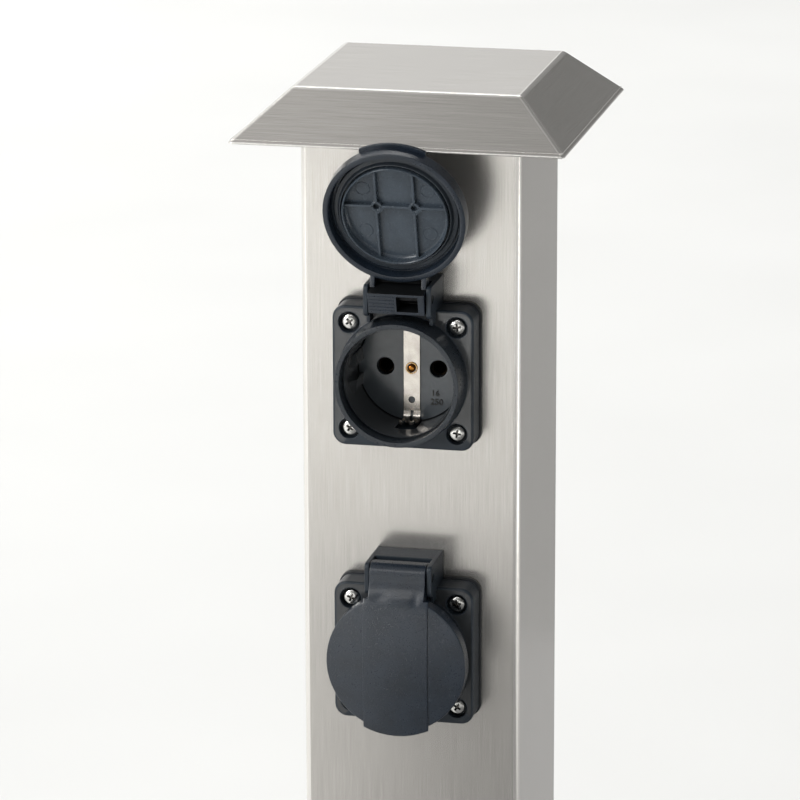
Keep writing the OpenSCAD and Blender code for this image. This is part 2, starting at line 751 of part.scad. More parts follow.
module housing() color(dark_plastic) {
    difference() {
        union() {
            translate([0, 0, gasket_t]) linear_extrude(flange_t) rounded_rect(flange_w, flange_w, flange_r);
            translate([0, 0, flange_f - eps])
                cylinder(h = rim_f - flange_f + eps, r1 = collar_base_r, r2 = rim_r);
            translate([0, 0, insert_back_f])
                cylinder(h = gasket_t - insert_back_f + eps, r = barrel_r);
            hood();
        }
        recess_hollow();
        at_corners(screw_pitch) {
            cylinder(h = flange_f + cut, r = screw_r + screw_gap);
            translate([0, 0, screw_seat_f]) cylinder(h = screw_recess + cut, r = screw_head_r + screw_recess_gap);
        }
    }
    plug_guides();
}

module gasket() color(rubber) {
    wide = flange_w + 2 * gasket_lip;
    difference() {
        linear_extrude(gasket_t) rounded_rect(wide, wide, flange_r + gasket_lip);
        translate([0, 0, -cut]) {
            cylinder(h = gasket_t + 2 * cut, r = panel_r);
            at_corners(screw_pitch) cylinder(h = gasket_t + 2 * cut, r = screw_r + screw_gap);
        }
        // Room for the hood's foot at the gasket's upper edge
        translate([-hood_w / 2 - 0.3, cheek_y - 0.3, -cut]) cube([hood_w + 0.6, flange_w, gasket_t + 2 * cut]);
    }
}

module insert() color(dark_plastic) difference() {
    translate([0, 0, insert_back_f]) cylinder(h = insert_t, r = insert_r);
    translate([-strip_w / 2 - strip_gap, -recess_r, face_f - strip_sink])
        cube([strip_w + 2 * strip_gap, 2 * recess_r, strip_sink + cut]);
    translate([0, 0, insert_back_f - cut]) {
        for (x = [-1, 1]) translate([x * pin_pitch / 2, 0, 0]) cylinder(h = insert_t + 2 * cut, r = pin_hole_r);
        cylinder(h = insert_t + 2 * cut, r = rivet_r + hole_gap);
        at_body_screws() cylinder(h = insert_t * 0.6 + cut, r = rear_screw_r + hole_gap);
    }
}

module earth_strip() color(nickel) difference() {
    intersection() {
        for (s = [0, 1]) mirror([0, s, 0])
            across(-strip_w / 2, strip_w / 2)
                polygon([for (p = ribbon(prong_line, strip_t)) [p[1] + strip_mid_f, p[0]]]);
        translate([-strip_w, -recess_r - notch_depth, face_f - cut]) cube([2 * strip_w, 3 * recess_r, 20]);
    }
    translate([0, 0, face_f - cut]) {
        cylinder(h = 3 * cut, r = rivet_r + hole_gap);
        translate([0, -strip_hole_drop, 0]) cylinder(h = 3 * cut, r = strip_hole_r);
    }
    for (s = [0, 1]) mirror([0, s, 0])
        translate([-prong_gap / 2, prong_root_y, face_f - cut]) cube([prong_gap, recess_r, 20]);
}

module earth_rivet() color(brass) {
    head_f = strip_mid_f + strip_t / 2;
    translate([0, 0, rivet_tail_f]) cylinder(h = head_f - rivet_tail_f + rivet_head_h / 2, r = rivet_r);
    difference() {
        translate([0, 0, head_f]) cylinder(h = rivet_head_h, r = rivet_head_r);
        ring(rivet_head_r - 0.3, rivet_head_r - 0.75, head_f + rivet_head_h / 2, head_f + rivet_head_h + cut);
    }
}

// A brass clamp block with its wire bore and screw thread, at x
module clamp_block(x) translate([x, 0, 0]) difference() {
    translate([-clamp_w / 2, -clamp_h / 2, clamp_back_f]) cube([clamp_w, clamp_h, clamp_l]);
    translate([0, -clamp_h / 2 - cut, wire_f]) rotate([-90, 0, 0])
        cylinder(h = clamp_h * 0.8 + cut, r = wire_bore_r);
    translate([0, 0, clamp_back_f - cut]) cylinder(h = wire_f - clamp_back_f + cut, r = clamp_screw_r + hole_gap);
}

module earth_clamp() color(brass) clamp_block(0);

module line_contact(side) color(brass) {
    x = side * pin_pitch / 2;
    clamp_block(x);
    top_f = face_f - sleeve_sink;
    translate([x, 0, 0]) difference() {
        translate([0, 0, clamp_f - eps]) cylinder(h = top_f - clamp_f + eps, r = sleeve_r);
        translate([0, 0, clamp_f + 1]) cylinder(h = top_f - clamp_f, r = sleeve_in_r);
        translate([-sleeve_slot / 2, -sleeve_r - cut, clamp_f + 2])
            cube([sleeve_slot, 2 * sleeve_r + 2 * cut, top_f - clamp_f]);
    }
}

module terminal_body() color(dark_plastic) difference() {
    translate([0, 0, rear_f]) cylinder(h = rear_l, r = rear_r);
    for (x = [-1:1]) translate([x * pin_pitch / 2, 0, 0]) {
        translate([-clamp_w / 2 - clamp_gap, -clamp_h / 2 - clamp_gap, rear_f - cut])
            cube([clamp_w + 2 * clamp_gap, clamp_h + 2 * clamp_gap, clamp_f - rear_f + cut]);
        translate([0, 0, wire_f]) rotate([90, 0, 0]) cylinder(h = rear_r + cut, r = wire_r + clamp_gap);
        translate([0, 0, rear_f]) cylinder(h = rear_l + cut,
            r = x == 0 ? rivet_r + clamp_gap : sleeve_r + clamp_gap);
    }
    at_body_screws() translate([0, 0, rear_f - cut])
        cylinder(h = rear_l + 2 * cut, r = rear_screw_r + hole_gap);
}

module body_screws() color(chrome) at_body_screws() {
    tip_f = insert_back_f + insert_t * 0.5;
    translate([0, 0, rear_f]) cylinder(h = tip_f - rear_f, r = rear_screw_r);
    translate([0, 0, rear_f - clamp_head_h]) cylinder(h = clamp_head_h, r = clamp_head_r);
}

module clamp_screws() color(chrome) for (x = [-1:1]) translate([x * pin_pitch / 2, 0, 0]) {
    translate([0, 0, clamp_back_f]) cylinder(h = clamp_screw_tip_f - clamp_back_f, r = clamp_screw_r);
    difference() {
        translate([0, 0, clamp_back_f - clamp_head_h]) cylinder(h = clamp_head_h, r = clamp_head_r);
        translate([-clamp_head_r - cut, -0.4, clamp_back_f - clamp_head_h - cut])
            cube([2 * clamp_head_r + 2 * cut, 0.8, cut + 0.8]);
    }
}

module fixing_screws() color(chrome) at_corners(screw_pitch) {
    translate([0, 0, nut_f - screw_tail]) cylinder(h = screw_seat_f - nut_f + screw_tail, r = screw_r);
    translate([0, 0, screw_seat_f]) difference() {
        cylinder(h = screw_head_h, r1 = screw_head_r, r2 = screw_head_r * 0.78);
        cross_recess(screw_head_r * 0.62, screw_head_h);
    }
}

module fixing_nuts() color(chrome) at_corners(screw_pitch) translate([0, 0, nut_f]) difference() {
    hex_prism(nut_w, nut_t);
    translate([0, 0, -cut]) cylinder(h = nut_t + 2 * cut, r = screw_r + hole_gap);
}

module hinge_pin() color(chrome)
    translate([-hood_w / 2 + 0.2, hinge_y, hinge_f]) rotate([0, 90, 0]) cylinder(h = hood_w - 0.4, r = pin_r);

// Socket: lid, drawn closed

module lid_shell() rotate_extrude() polygon(concat(
    [[0, lid_floor_f], [skirt_in_r, lid_floor_f], [skirt_in_r, skirt_f], [lid_r, skirt_f]],
    arc([lid_r - lid_edge_r, lid_f - lid_edge_r], lid_edge_r, 0, 90),
    [[0, lid_f]]));

module lid_band() {
    translate([0, 0, lid_f - eps]) linear_extrude(band_h + eps) intersection() {
        circle(thumb_r);
        translate([-band_w / 2, -thumb_r]) square([band_w, thumb_r + slope_low_y + eps]);
    }
    translate([0, 0, band_f - thumb_t]) linear_extrude(thumb_t) intersection() {
        circle(thumb_r);
        translate([-band_w / 2, -thumb_r]) square([band_w, thumb_r - lid_r * 0.8]);
    }
}

// The arm's outer line from the disc up to the knuckle
module arm_outline() {
    polygon([
        [lid_floor_f, slope_low_y - 1], [band_f, slope_low_y - 1], [band_f, slope_low_y],
        [arm_f, slope_top_y], [arm_f, hinge_y + arm_rise], [arm_f - arm_t, hinge_y + arm_rise],
        [arm_f - arm_t, slope_top_y - arm_t / 2], [lid_floor_f, skirt_in_r]]);
}

module knuckle_outline() {
    translate([hinge_f - knuckle_back, hinge_y - knuckle_drop])
        square([knuckle_back + arm_reach - 0.5, knuckle_drop + knuckle_rise]);
}

module lid_arm() {
    half = knuckle_w / 2;
    across(-half, half) arm_outline();
    intersection() {
        across(-band_w / 2, band_w / 2) arm_outline();
        translate([-band_w, 0, 0]) cube([2 * band_w, cheek_y - 0.3, 2 * band_f]);
    }
    difference() {
        across(-half, half) knuckle_outline();
        translate([window_x, hinge_y - window_h / 2, hinge_f - knuckle_back - cut])
            cube([window_w, window_h, knuckle_back + arm_reach - arm_t + cut]);
    }
    for (x0 = [-half, half - cheek_t]) across(x0, x0 + cheek_t) polygon([
        [hinge_f - 0.4, hinge_y - knuckle_drop + eps], [arm_f - eps, hinge_y - knuckle_drop + eps],
        [arm_f + 1, skirt_in_r - 0.4], [skirt_f + 0.4, skirt_in_r - 0.4]]);
}

module lid_ribs() {
    low_f = lid_floor_f - rib_h;
    intersection() {
        translate([0, 0, low_f]) cylinder(h = rib_h + eps, r = ring_in_r + ring_wall / 2);
        union() {
            for (x = [-1, 1]) translate([x * rib_pitch / 2 - rib_t / 2, -ring_in_r - cut, low_f])
                cube([rib_t, 2 * ring_in_r + 2 * cut, rib_h + eps]);
            translate([-ring_in_r - cut, -rib_drop - rib_t / 2, low_f])
                cube([2 * ring_in_r + 2 * cut, rib_t, rib_h + eps]);
        }
    }
}

module lid() color(dark_plastic) difference() {
    union() {
        difference() {
            union() {
                lid_shell();
                lid_band();
            }
            // Room above the arm's slope
            across(-band_w / 2, band_w / 2) polygon([
                [band_f + cut, slope_low_y], [band_f, slope_low_y], [arm_f, slope_top_y],
                [arm_f, slope_top_y + 10], [band_f + cut, slope_top_y + 10]]);
        }
        lid_arm();
        ring(ring_in_r + ring_wall, ring_in_r, lid_floor_f - ring_h, lid_floor_f + eps);
        lid_ribs();
        for (x = [-1, 1]) translate([x * rib_pitch / 2, -rib_drop, lid_floor_f - rib_h])
            cylinder(h = rib_h + eps, r = boss_r);
    }
    for (x = [-1, 1]) translate([x * rib_pitch / 2, -rib_drop, lid_floor_f - rib_h - cut])
        cylinder(h = rib_h + cut + 0.6, r = boss_hole_r);
    translate([-knuckle_w / 2 - cut, hinge_y, hinge_f]) rotate([0, 90, 0])
        cylinder(h = knuckle_w + 2 * cut, r = pin_r + pin_gap);
}

module lid_seal() color(rubber) ring(seal_out_r, seal_in_r, seal_f, lid_floor_f);

// A wire from a pole of the terminal strip up into a socket's clamp
module socket_wire(z, pole, side, leave, arrive) {
    start = [pole * pole_pitch, bar_mid_y, terminal_z + bar_h / 2];
    end = [side * pin_pitch / 2, -post_d / 2 - wire_f, z - clamp_h / 2];
    up = [0, 0, 1];
    wire(led_route(start, pole_lead * up, leave * up, arrive * up, clamp_lead * up, end), up, up);
}

post_tube();
base_plate();
roof_cap();
roof_spigot();
roof_screws();
cable_bush();
terminal_strip();
terminal_bars();
terminal_screws();
strip_screws();
earth_stud();
earth_washer();
earth_lug();
earth_nut();
bond_wire();

at_socket(upper_z) housing();  // upper_housing
at_socket(upper_z) gasket();  // upper_gasket
at_socket(upper_z) insert();  // upper_insert
at_socket(upper_z) earth_strip();  // upper_earth_strip
at_socket(upper_z) earth_rivet();  // upper_earth_rivet
at_socket(upper_z) earth_clamp();  // upper_earth_clamp
at_socket(upper_z) line_contact(-1);  // upper_live_contact
at_socket(upper_z) line_contact(1);  // upper_neutral_contact
at_socket(upper_z) terminal_body();  // upper_terminal_body
at_socket(upper_z) body_screws();  // upper_body_screws
at_socket(upper_z) clamp_screws();  // upper_clamp_screws
at_socket(upper_z) fixing_screws();  // upper_fixing_screws
at_socket(upper_z) fixing_nuts();  // upper_fixing_nuts
at_socket(upper_z) hinge_pin();  // upper_hinge_pin
at_socket(upper_z) swing(lid_open) lid();  // upper_lid
at_socket(upper_z) swing(lid_open) lid_seal();  // upper_lid_seal
color(brown_wire) socket_wire(upper_z, -2.5, -1, upper_leave, upper_arrive);  // upper_live_wire
color(blue_wire) socket_wire(upper_z, 2.5, 1, upper_leave, upper_arrive);  // upper_neutral_wire
color(green_wire) socket_wire(upper_z, 0.5, 0, upper_leave, upper_arrive);  // upper_earth_wire

at_socket(lower_z) housing();  // lower_housing
at_socket(lower_z) gasket();  // lower_gasket
at_socket(lower_z) insert();  // lower_insert
at_socket(lower_z) earth_strip();  // lower_earth_strip
at_socket(lower_z) earth_rivet();  // lower_earth_rivet
at_socket(lower_z) earth_clamp();  // lower_earth_clamp
at_socket(lower_z) line_contact(-1);  // lower_live_contact
at_socket(lower_z) line_contact(1);  // lower_neutral_contact
at_socket(lower_z) terminal_body();  // lower_terminal_body
at_socket(lower_z) body_screws();  // lower_body_screws
at_socket(lower_z) clamp_screws();  // lower_clamp_screws
at_socket(lower_z) fixing_screws();  // lower_fixing_screws
at_socket(lower_z) fixing_nuts();  // lower_fixing_nuts
at_socket(lower_z) hinge_pin();  // lower_hinge_pin
at_socket(lower_z) lid();  // lower_lid
at_socket(lower_z) lid_seal();  // lower_lid_seal
color(brown_wire) socket_wire(lower_z, -1.5, -1, lower_leave, lower_arrive);  // lower_live_wire
color(blue_wire) socket_wire(lower_z, 1.5, 1, lower_leave, lower_arrive);  // lower_neutral_wire
color(green_wire) socket_wire(lower_z, -0.5, 0, lower_leave, lower_arrive);  // lower_earth_wire
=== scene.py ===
"""Garden socket post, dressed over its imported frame.

Shapes are modelled in millimetres, in their sub-assembly's own frame, and put into the row
frame in metres when they become a piece.
"""
import logging
import math
from dataclasses import dataclass, field
from enum import Enum
from types import MappingProxyType
from typing import Callable, Iterable, Mapping, Sequence

import bmesh
import bpy
from mathutils import Matrix, Vector


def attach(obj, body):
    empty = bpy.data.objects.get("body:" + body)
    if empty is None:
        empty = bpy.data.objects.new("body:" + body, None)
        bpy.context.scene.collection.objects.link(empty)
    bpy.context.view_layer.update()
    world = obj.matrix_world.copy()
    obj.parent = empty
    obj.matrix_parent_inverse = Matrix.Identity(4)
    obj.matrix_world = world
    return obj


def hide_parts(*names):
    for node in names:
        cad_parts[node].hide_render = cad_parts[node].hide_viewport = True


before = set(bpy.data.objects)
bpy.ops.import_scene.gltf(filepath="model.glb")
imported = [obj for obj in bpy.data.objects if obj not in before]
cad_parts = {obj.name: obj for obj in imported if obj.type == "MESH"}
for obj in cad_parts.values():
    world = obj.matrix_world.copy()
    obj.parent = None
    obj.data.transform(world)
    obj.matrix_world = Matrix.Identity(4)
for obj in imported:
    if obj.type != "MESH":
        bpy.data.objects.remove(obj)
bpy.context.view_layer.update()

log = logging.getLogger("socket_post")
Point = tuple[float, float]
Place = tuple[float, float, float]
Colour = tuple[float, float, float, float]

MM = 0.001
# Vertices closer than this, in millimetres, are merged
MERGE = 0.0005
# Places of the colour mix node's sockets
MIX_AMOUNT, MIX_FIRST, MIX_SECOND, MIX_RESULT = 0, 6, 7, 2
NOTHING: Mapping = MappingProxyType({})


def linear(code: str) -> Colour:
    """Turns an sRGB hex colour into linear light, by the standard's two-part curve.

    Args:
        code: six hex digits after a hash.

    Returns:
        Red, green, blue and an alpha of one.
    """
    knee, slope, offset, power = 0.04045, 12.92, 0.055, 2.4
    channels = [int(code[i:i + 2], 16) / 255 for i in (1, 3, 5)]
    light = [c / slope if c <= knee else ((c + offset) / (1 + offset)) ** power for c in channels]
    return (light[0], light[1], light[2], 1.0)


def add_node(tree: bpy.types.NodeTree, kind: str, settings: Mapping = NOTHING,
             links: Mapping = NOTHING) -> bpy.types.Node:
    """Adds a node with its settings and links.

    Args:
        tree: the node tree to add to.
        kind: the node's type.
        settings: values for inputs (by name or place) and for properties.
        links: outputs to join to inputs, by the input's name or place.

    Returns:
        The new node.
    """
    node = tree.nodes.new(kind)
    for key, value in settings.items():
        if isinstance(key, int) or key in node.inputs:
            node.inputs[key].default_value = value
        else:
            setattr(node, key, value)
    for key, output in links.items():
        tree.links.new(output, node.inputs[key])
    return node


def cells(size_mm: float) -> Place:
    """A mapping scale for noise cells of one size all ways, in cells a metre."""
    return (1 / (MM * size_mm),) * 3


class Grain(Enum):
    """The direction that a sheet was brushed in."""

    UP = (0.0, 0.0, 1.0)
    ACROSS = (1.0, 0.0, 0.0)
    DEEP = (0.0, 1.0, 0.0)

    def scale(self, line_mm: float, length_mm: float) -> Place:
        """A mapping scale that makes noise fine across the grain and long along it."""
        return tuple(1 / (MM * (length_mm if along else line_mm)) for along in self.value)


@dataclass(frozen=True)
class Finish:
    """What every finish shares: its two tones, its gloss, its relief and how it becomes a material."""

    name: str
    dark: str = "#808080"
    light: str = "#909090"
    smooth: float = 0.3
    rough: float = 0.4
    relief: float = 0.3
    depth_mm: float = 0.02

    def build(self, tree: bpy.types.NodeTree, shader: bpy.types.Node) -> None:
        """Adds this finish's nodes to a tree that has a Principled shader."""
        raise NotImplementedError

    def material(self) -> bpy.types.Material:
        """The finish as a material, made once.

        Returns:
            The material.
        """
        made = bpy.data.materials.get(self.name)
        if made is None:
            made = bpy.data.materials.new(self.name)
            made.use_nodes = True
            made.node_tree.nodes.clear()
            shader = add_node(made.node_tree, "ShaderNodeBsdfPrincipled")
            add_node(made.node_tree, "ShaderNodeOutputMaterial", links={"Surface": shader.outputs["BSDF"]})
            self.build(made.node_tree, shader)
        return made

    def noise(self, tree: bpy.types.NodeTree, scale: Place, detail: float = 2.0) -> bpy.types.NodeSocket:
        """Noise on object coordinates, stretched by a scale.

        Args:
            tree: the material's tree.
            scale: cells a metre along x, y and z.
            detail: octaves of the noise.

        Returns:
            The noise's output.
        """
        place = add_node(tree, "ShaderNodeTexCoord")
        sized = add_node(tree, "ShaderNodeMapping", {"Scale": scale}, {"Vector": place.outputs["Object"]})
        grit = add_node(tree, "ShaderNodeTexNoise", {"Scale": 1.0, "Detail": detail, "Roughness": 0.6},
                        {"Vector": sized.outputs["Vector"]})
        return grit.outputs["Fac"]

    def surface(self, tree: bpy.types.NodeTree, shader: bpy.types.Node, tone: bpy.types.NodeSocket,
                gloss: bpy.types.NodeSocket, ends: Point, height: bpy.types.NodeSocket,
                spread: Point = (0.3, 0.7)) -> None:
        """Joins noises to the shader's colour, roughness and normal.

        Args:
            tree: the material's tree.
            shader: its shader.
            tone: the noise that mixes the dark tone with the light one.
            gloss: the noise that sets the roughness.
            ends: roughness at the low and the high end of that noise.
            height: the noise that gives the relief.
            spread: tone noise that gives the dark and the light tone.
        """
        reach = {"From Min": spread[0], "From Max": spread[1]}
        amount = add_node(tree, "ShaderNodeMapRange", reach, {"Value": tone})
        colours = {"data_type": "RGBA", MIX_FIRST: linear(self.dark), MIX_SECOND: linear(self.light)}
        mixed = add_node(tree, "ShaderNodeMix", colours, {MIX_AMOUNT: amount.outputs["Result"]})
        limits = {"From Min": 0.3, "From Max": 0.7, "To Min": ends[0], "To Max": ends[1]}
        dulled = add_node(tree, "ShaderNodeMapRange", limits, {"Value": gloss})
        bump = add_node(tree, "ShaderNodeBump", {"Strength": self.relief, "Distance": self.depth_mm * MM},
                        {"Height": height})
        tree.links.new(mixed.outputs[MIX_RESULT], shader.inputs["Base Color"])
        tree.links.new(dulled.outputs["Result"], shader.inputs["Roughness"])
        tree.links.new(bump.outputs["Normal"], shader.inputs["Normal"])


@dataclass(frozen=True)
class BrushedSteel(Finish):
    """Stainless sheet, ground along one direction: a satin metal whose fine parallel lines
    draw a highlight out across them, with slightly darker and lighter streaks."""

    dark: str = "#b5b1ac"
    light: str = "#d2cfca"
    smooth: float = 0.225
    rough: float = 0.24
    relief: float = 0.14
    depth_mm: float = 0.0018
    grain: Grain = Grain.UP
    line_mm: float = 0.25
    line_length_mm: float = 22.0
    streak_mm: float = 2.0
    streak_length_mm: float = 120.0
    metallic: float = 0.82
    drawn_out: float = 0.5

    def build(self, tree: bpy.types.NodeTree, shader: bpy.types.Node) -> None:
        """Brush lines over faint streaks that are a little glossier. The real lines are about
        0.1 mm wide, which would not show, so they are drawn 0.25 mm wide.

        Args:
            tree: the material's tree.
            shader: its Principled shader.
        """
        lines = self.noise(tree, self.grain.scale(self.line_mm, self.line_length_mm))
        streaks = self.noise(tree, self.grain.scale(self.streak_mm, self.streak_length_mm))
        self.surface(tree, shader, lines, streaks, (self.rough, self.smooth), lines, (0.2, 0.8))
        shader.inputs["Metallic"].default_value = self.metallic
        shader.inputs["Anisotropic"].default_value = self.drawn_out
        facing = add_node(tree, "ShaderNodeNewGeometry")
        across = add_node(tree, "ShaderNodeVectorMath", {"operation": "CROSS_PRODUCT", 1: self.grain.value},
                          {0: facing.outputs["Normal"]})
        tree.links.new(across.outputs["Vector"], shader.inputs["Tangent"])


@dataclass(frozen=True)
class MouldedPlastic(Finish):
    """Impact-resistant technical plastic from a spark-eroded mould: dark and matt,
    with a fine even grit that breaks up the highlight."""

    dark: str = "#29313a"
    light: str = "#303943"
    smooth: float = 0.40
    rough: float = 0.52
    grit_mm: float = 0.45
    patch_mm: float = 9.0
    ior: float = 1.46

    def build(self, tree: bpy.types.NodeTree, shader: bpy.types.Node) -> None:
        """Grit in gloss and relief, drawn three times its real size of 0.15 mm so that it shows,
        over soft patches of tone.

        Args:
            tree: the material's tree.
            shader: its Principled shader.
        """
        grains = self.noise(tree, cells(self.grit_mm))
        patches = self.noise(tree, cells(self.patch_mm))
        self.surface(tree, shader, patches, grains, (self.smooth, self.rough), grains)
        shader.inputs["IOR"].default_value = self.ior


@dataclass(frozen=True)
class PlatedMetal(Finish):
    """A plated or bare turned part: nickel, zinc or brass, bright with soft cloudy marks
    where the plating bath and handling left it duller."""

    dark: str = "#bfb9b1"
    light: str = "#d4cec6"
    smooth: float = 0.18
    rough: float = 0.27
    relief: float = 0.15
    cloud_mm: float = 5.0
    scratch_mm: float = 0.2
    scratch_length_mm: float = 2.5

    def build(self, tree: bpy.types.NodeTree, shader: bpy.types.Node) -> None:
        """Clouds of tone and gloss over fine scratches.

        Args:
            tree: the material's tree.
            shader: its Principled shader.
        """
        clouds = self.noise(tree, cells(self.cloud_mm), 3.0)
        scratches = self.noise(tree, Grain.UP.scale(self.scratch_mm, self.scratch_length_mm))
        self.surface(tree, shader, clouds, clouds, (self.rough, self.smooth), scratches)
        shader.inputs["Metallic"].default_value = 1.0


@dataclass(frozen=True)
class FloorPaper(Finish):
    """Seamless studio paper: pale and matt, with barely visible clouds."""

    dark: str = "#dadad8"
    light: str = "#dededc"
    rough: float = 0.85
    cloud_mm: float = 300.0

    def build(self, tree: bpy.types.NodeTree, shader: bpy.types.Node) -> None:
        """Wide clouds between two near whites, with no relief.

        Args:
            tree: the material's tree.
            shader: its Principled shader.
        """
        amount = add_node(tree, "ShaderNodeMapRange", {"From Min": 0.3, "From Max": 0.7},
                          {"Value": self.noise(tree, cells(self.cloud_mm))})
        colours = {"data_type": "RGBA", MIX_FIRST: linear(self.dark), MIX_SECOND: linear(self.light)}
        mixed = add_node(tree, "ShaderNodeMix", colours, {MIX_AMOUNT: amount.outputs["Result"]})
        tree.links.new(mixed.outputs[MIX_RESULT], shader.inputs["Base Color"])
        shader.inputs["Roughness"].default_value = self.rough


# Ground upwards: a warm grey satin with upright lines, for the tube
POST_STEEL = BrushedSteel("steel_brushed_upright", grain=Grain.UP)
# Ground across: the same satin with level lines, for the roof's top, front and back
ROOF_STEEL = BrushedSteel("steel_brushed_across", grain=Grain.ACROSS)
# Ground front to back: lines that follow the roof's left and right slopes
SIDE_STEEL = BrushedSteel("steel_brushed_deep", grain=Grain.DEEP)
# A bend that the belt polished more, so a little smoother, and painted paler as a highlight: a tight line of
# light down the tube's corners
CORNER_STEEL = BrushedSteel("steel_ground_corner", "#dfdcd7", "#efece8", 0.18, 0.22, grain=Grain.UP)
# The same on the roof's folds, a little smoother and painted paler as a highlight: a bright rim between two
# duller faces
FOLD_STEEL = BrushedSteel("steel_ground_fold", "#dfdcd7", "#efece8", 0.18, 0.22, grain=Grain.ACROSS)
# A brushed weld: darker and duller than the sheet, so that the joint reads as a line
WELD_STEEL = BrushedSteel("weld_bead_steel", "#85827e", "#9a9792", 0.34, 0.42, grain=Grain.UP)
# Glass-filled plastic with a matt mould: dark blue grey with hardly a highlight
HOUSING_PLASTIC = MouldedPlastic("housing_moulded_plastic", "#20272e", "#262e36", 0.36, 0.46, ior=1.38)
# The collar's finer mould: a soft band of light along the rim
COLLAR_PLASTIC = MouldedPlastic("collar_smooth_plastic", "#1e2329", "#252b31", 0.26, 0.34,
                                depth_mm=0.006, grit_mm=1.2)
# The insert's polished mould, a little wavy: a lighter grey with broad uneven gloss
RECESS_PLASTIC = MouldedPlastic("recess_smooth_plastic", "#3b4146", "#454b50", 0.17, 0.23,
                                depth_mm=0.25, grit_mm=7.0, ior=1.62)
# The recess's wall: a darker copy of the insert's plastic, painted shade inside the recess, and glossy
# enough to mirror the strip at a low angle
WALL_PLASTIC = MouldedPlastic("recess_wall_plastic", "#2f3133", "#393b3d", 0.12, 0.2,
                              depth_mm=0.25, grit_mm=7.0, ior=1.62)
# Raised digits in near black, so that they can be read on the insert
NUMBER_PLASTIC = MouldedPlastic("number_dark_plastic", "#0b0c0d", "#101112")
# Painted shade on the arm's hollow back, the knuckle's low side and its window, where hardly any light gets
# in: close to black and without gloss
ARM_INSIDE = MouldedPlastic("arm_inside_plastic", "#0a0b0c", "#0e1012", 0.5, 0.6, ior=1.25)
# The lid's outside: bluer and glossier than the flange, with a broad soft highlight
LID_PLASTIC = MouldedPlastic("lid_moulded_plastic", "#161e27", "#1c2530", 0.26, 0.34, ior=1.58)
# The lid's inside, from a polished core: smoother, and its inner disc painted lighter as painted light, so
# that the ribs stand out
LID_INSIDE = MouldedPlastic("lid_inside_plastic", "#363e46", "#3e4750", 0.22, 0.3,
                            depth_mm=0.01, grit_mm=1.5)
# Polyamide of the terminal strip: a mid grey, plain and matt
GREY_PLASTIC = MouldedPlastic("strip_grey_plastic", "#85888a", "#939698")
# Cut sheet rubber: a soft black that swallows the highlight
RUBBER = MouldedPlastic("gasket_rubber", "#1f2124", "#27292c", 0.55, 0.7, grit_mm=0.6)
# Moulded silicone rubber: dark grey with a thin sheen around the ring
SEAL_RUBBER = MouldedPlastic("seal_rubber", "#2b3036", "#33393f", 0.27, 0.36, depth_mm=0.01, grit_mm=1.2)
# Nickel over spring brass: a warm, bright strip
NICKEL = PlatedMetal("contact_nickel")
# Bare brass bars and clamps: yellow, half dull
BRASS = PlatedMetal("contact_brass", "#a97f35", "#cfa657", 0.2, 0.36)
# Painted shade on the brass deep in the pin holes: so brown and dull that the holes stay dark
TARNISHED = PlatedMetal("contact_tarnished_brass", "#120e08", "#1c160d", 0.4, 0.55)
# The rivet's head, polished by its punch: deep orange with small sparkles
RIVET_BRASS = PlatedMetal("rivet_brass", "#8f5a22", "#b97a35", 0.16, 0.26, cloud_mm=0.8)
# The rivet's split ring: paler, so that it frames the head
RIVET_RING = PlatedMetal("rivet_pale_ring", "#c09557", "#e0ba7e", 0.14, 0.24, cloud_mm=0.8)
# Painted shade in the screws' cross recesses, where little light gets in: a brownish grey that draws the
# cross
RECESS_DARK = PlatedMetal("screw_recess_shaded", "#55534f", "#7b7874", 0.25, 0.4)
# Bright zinc on pan heads: a nearly white glint with small clouds
ZINC = PlatedMetal("screw_bright_zinc", "#b9b8b4", "#e8e7e4", 0.13, 0.26, cloud_mm=0.9)
# Blackened pin: dark metal that only shows as a soft line between the cheeks
DARK_STEEL = PlatedMetal("pin_blackened_steel", "#1c1c1d", "#2c2c2d", 0.35, 0.5)
# Extruded insulation: smooth, slightly waxy colours that tell the wires apart
BROWN_SLEEVE = MouldedPlastic("wire_brown", "#4d2c19", "#5b3620", 0.35, 0.45)
BLUE_SLEEVE = MouldedPlastic("wire_blue", "#27558f", "#3163a3", 0.35, 0.45)
GREEN_SLEEVE = MouldedPlastic("wire_green", "#4b7a26", "#588c2e", 0.35, 0.45)
# Studio cloths that only the steel mirrors: one gives it a mid grey, one a darker zone
CLOTH = MouldedPlastic("flag_cloth", "#b0b0b0", "#b6b6b6", 0.8, 0.9, grit_mm=2.0)
DARK_CLOTH = MouldedPlastic("flag_dark_cloth", "#707070", "#787878", 0.8, 0.9, grit_mm=2.0)
# Pale paper: the floor and the background in one near white
PAPER = FloorPaper("floor_paper")


@dataclass(frozen=True)
class Within:
    """Bounds that pick edges or faces by their middle: two heights, a reach and a least y."""

    low: float = -math.inf
    high: float = math.inf
    reach: float = math.inf
    above: float = -math.inf

    def holds(self, place: Vector) -> bool:
        """Whether a place lies within the bounds."""
        return self.low < place.z < self.high and place.to_2d().length < self.reach and place.y > self.above

    def takes(self, face: bmesh.types.BMFace) -> bool:
        """Whether a face's middle lies within the bounds."""
        return self.holds(face.calc_center_median())


EVERYWHERE = Within()


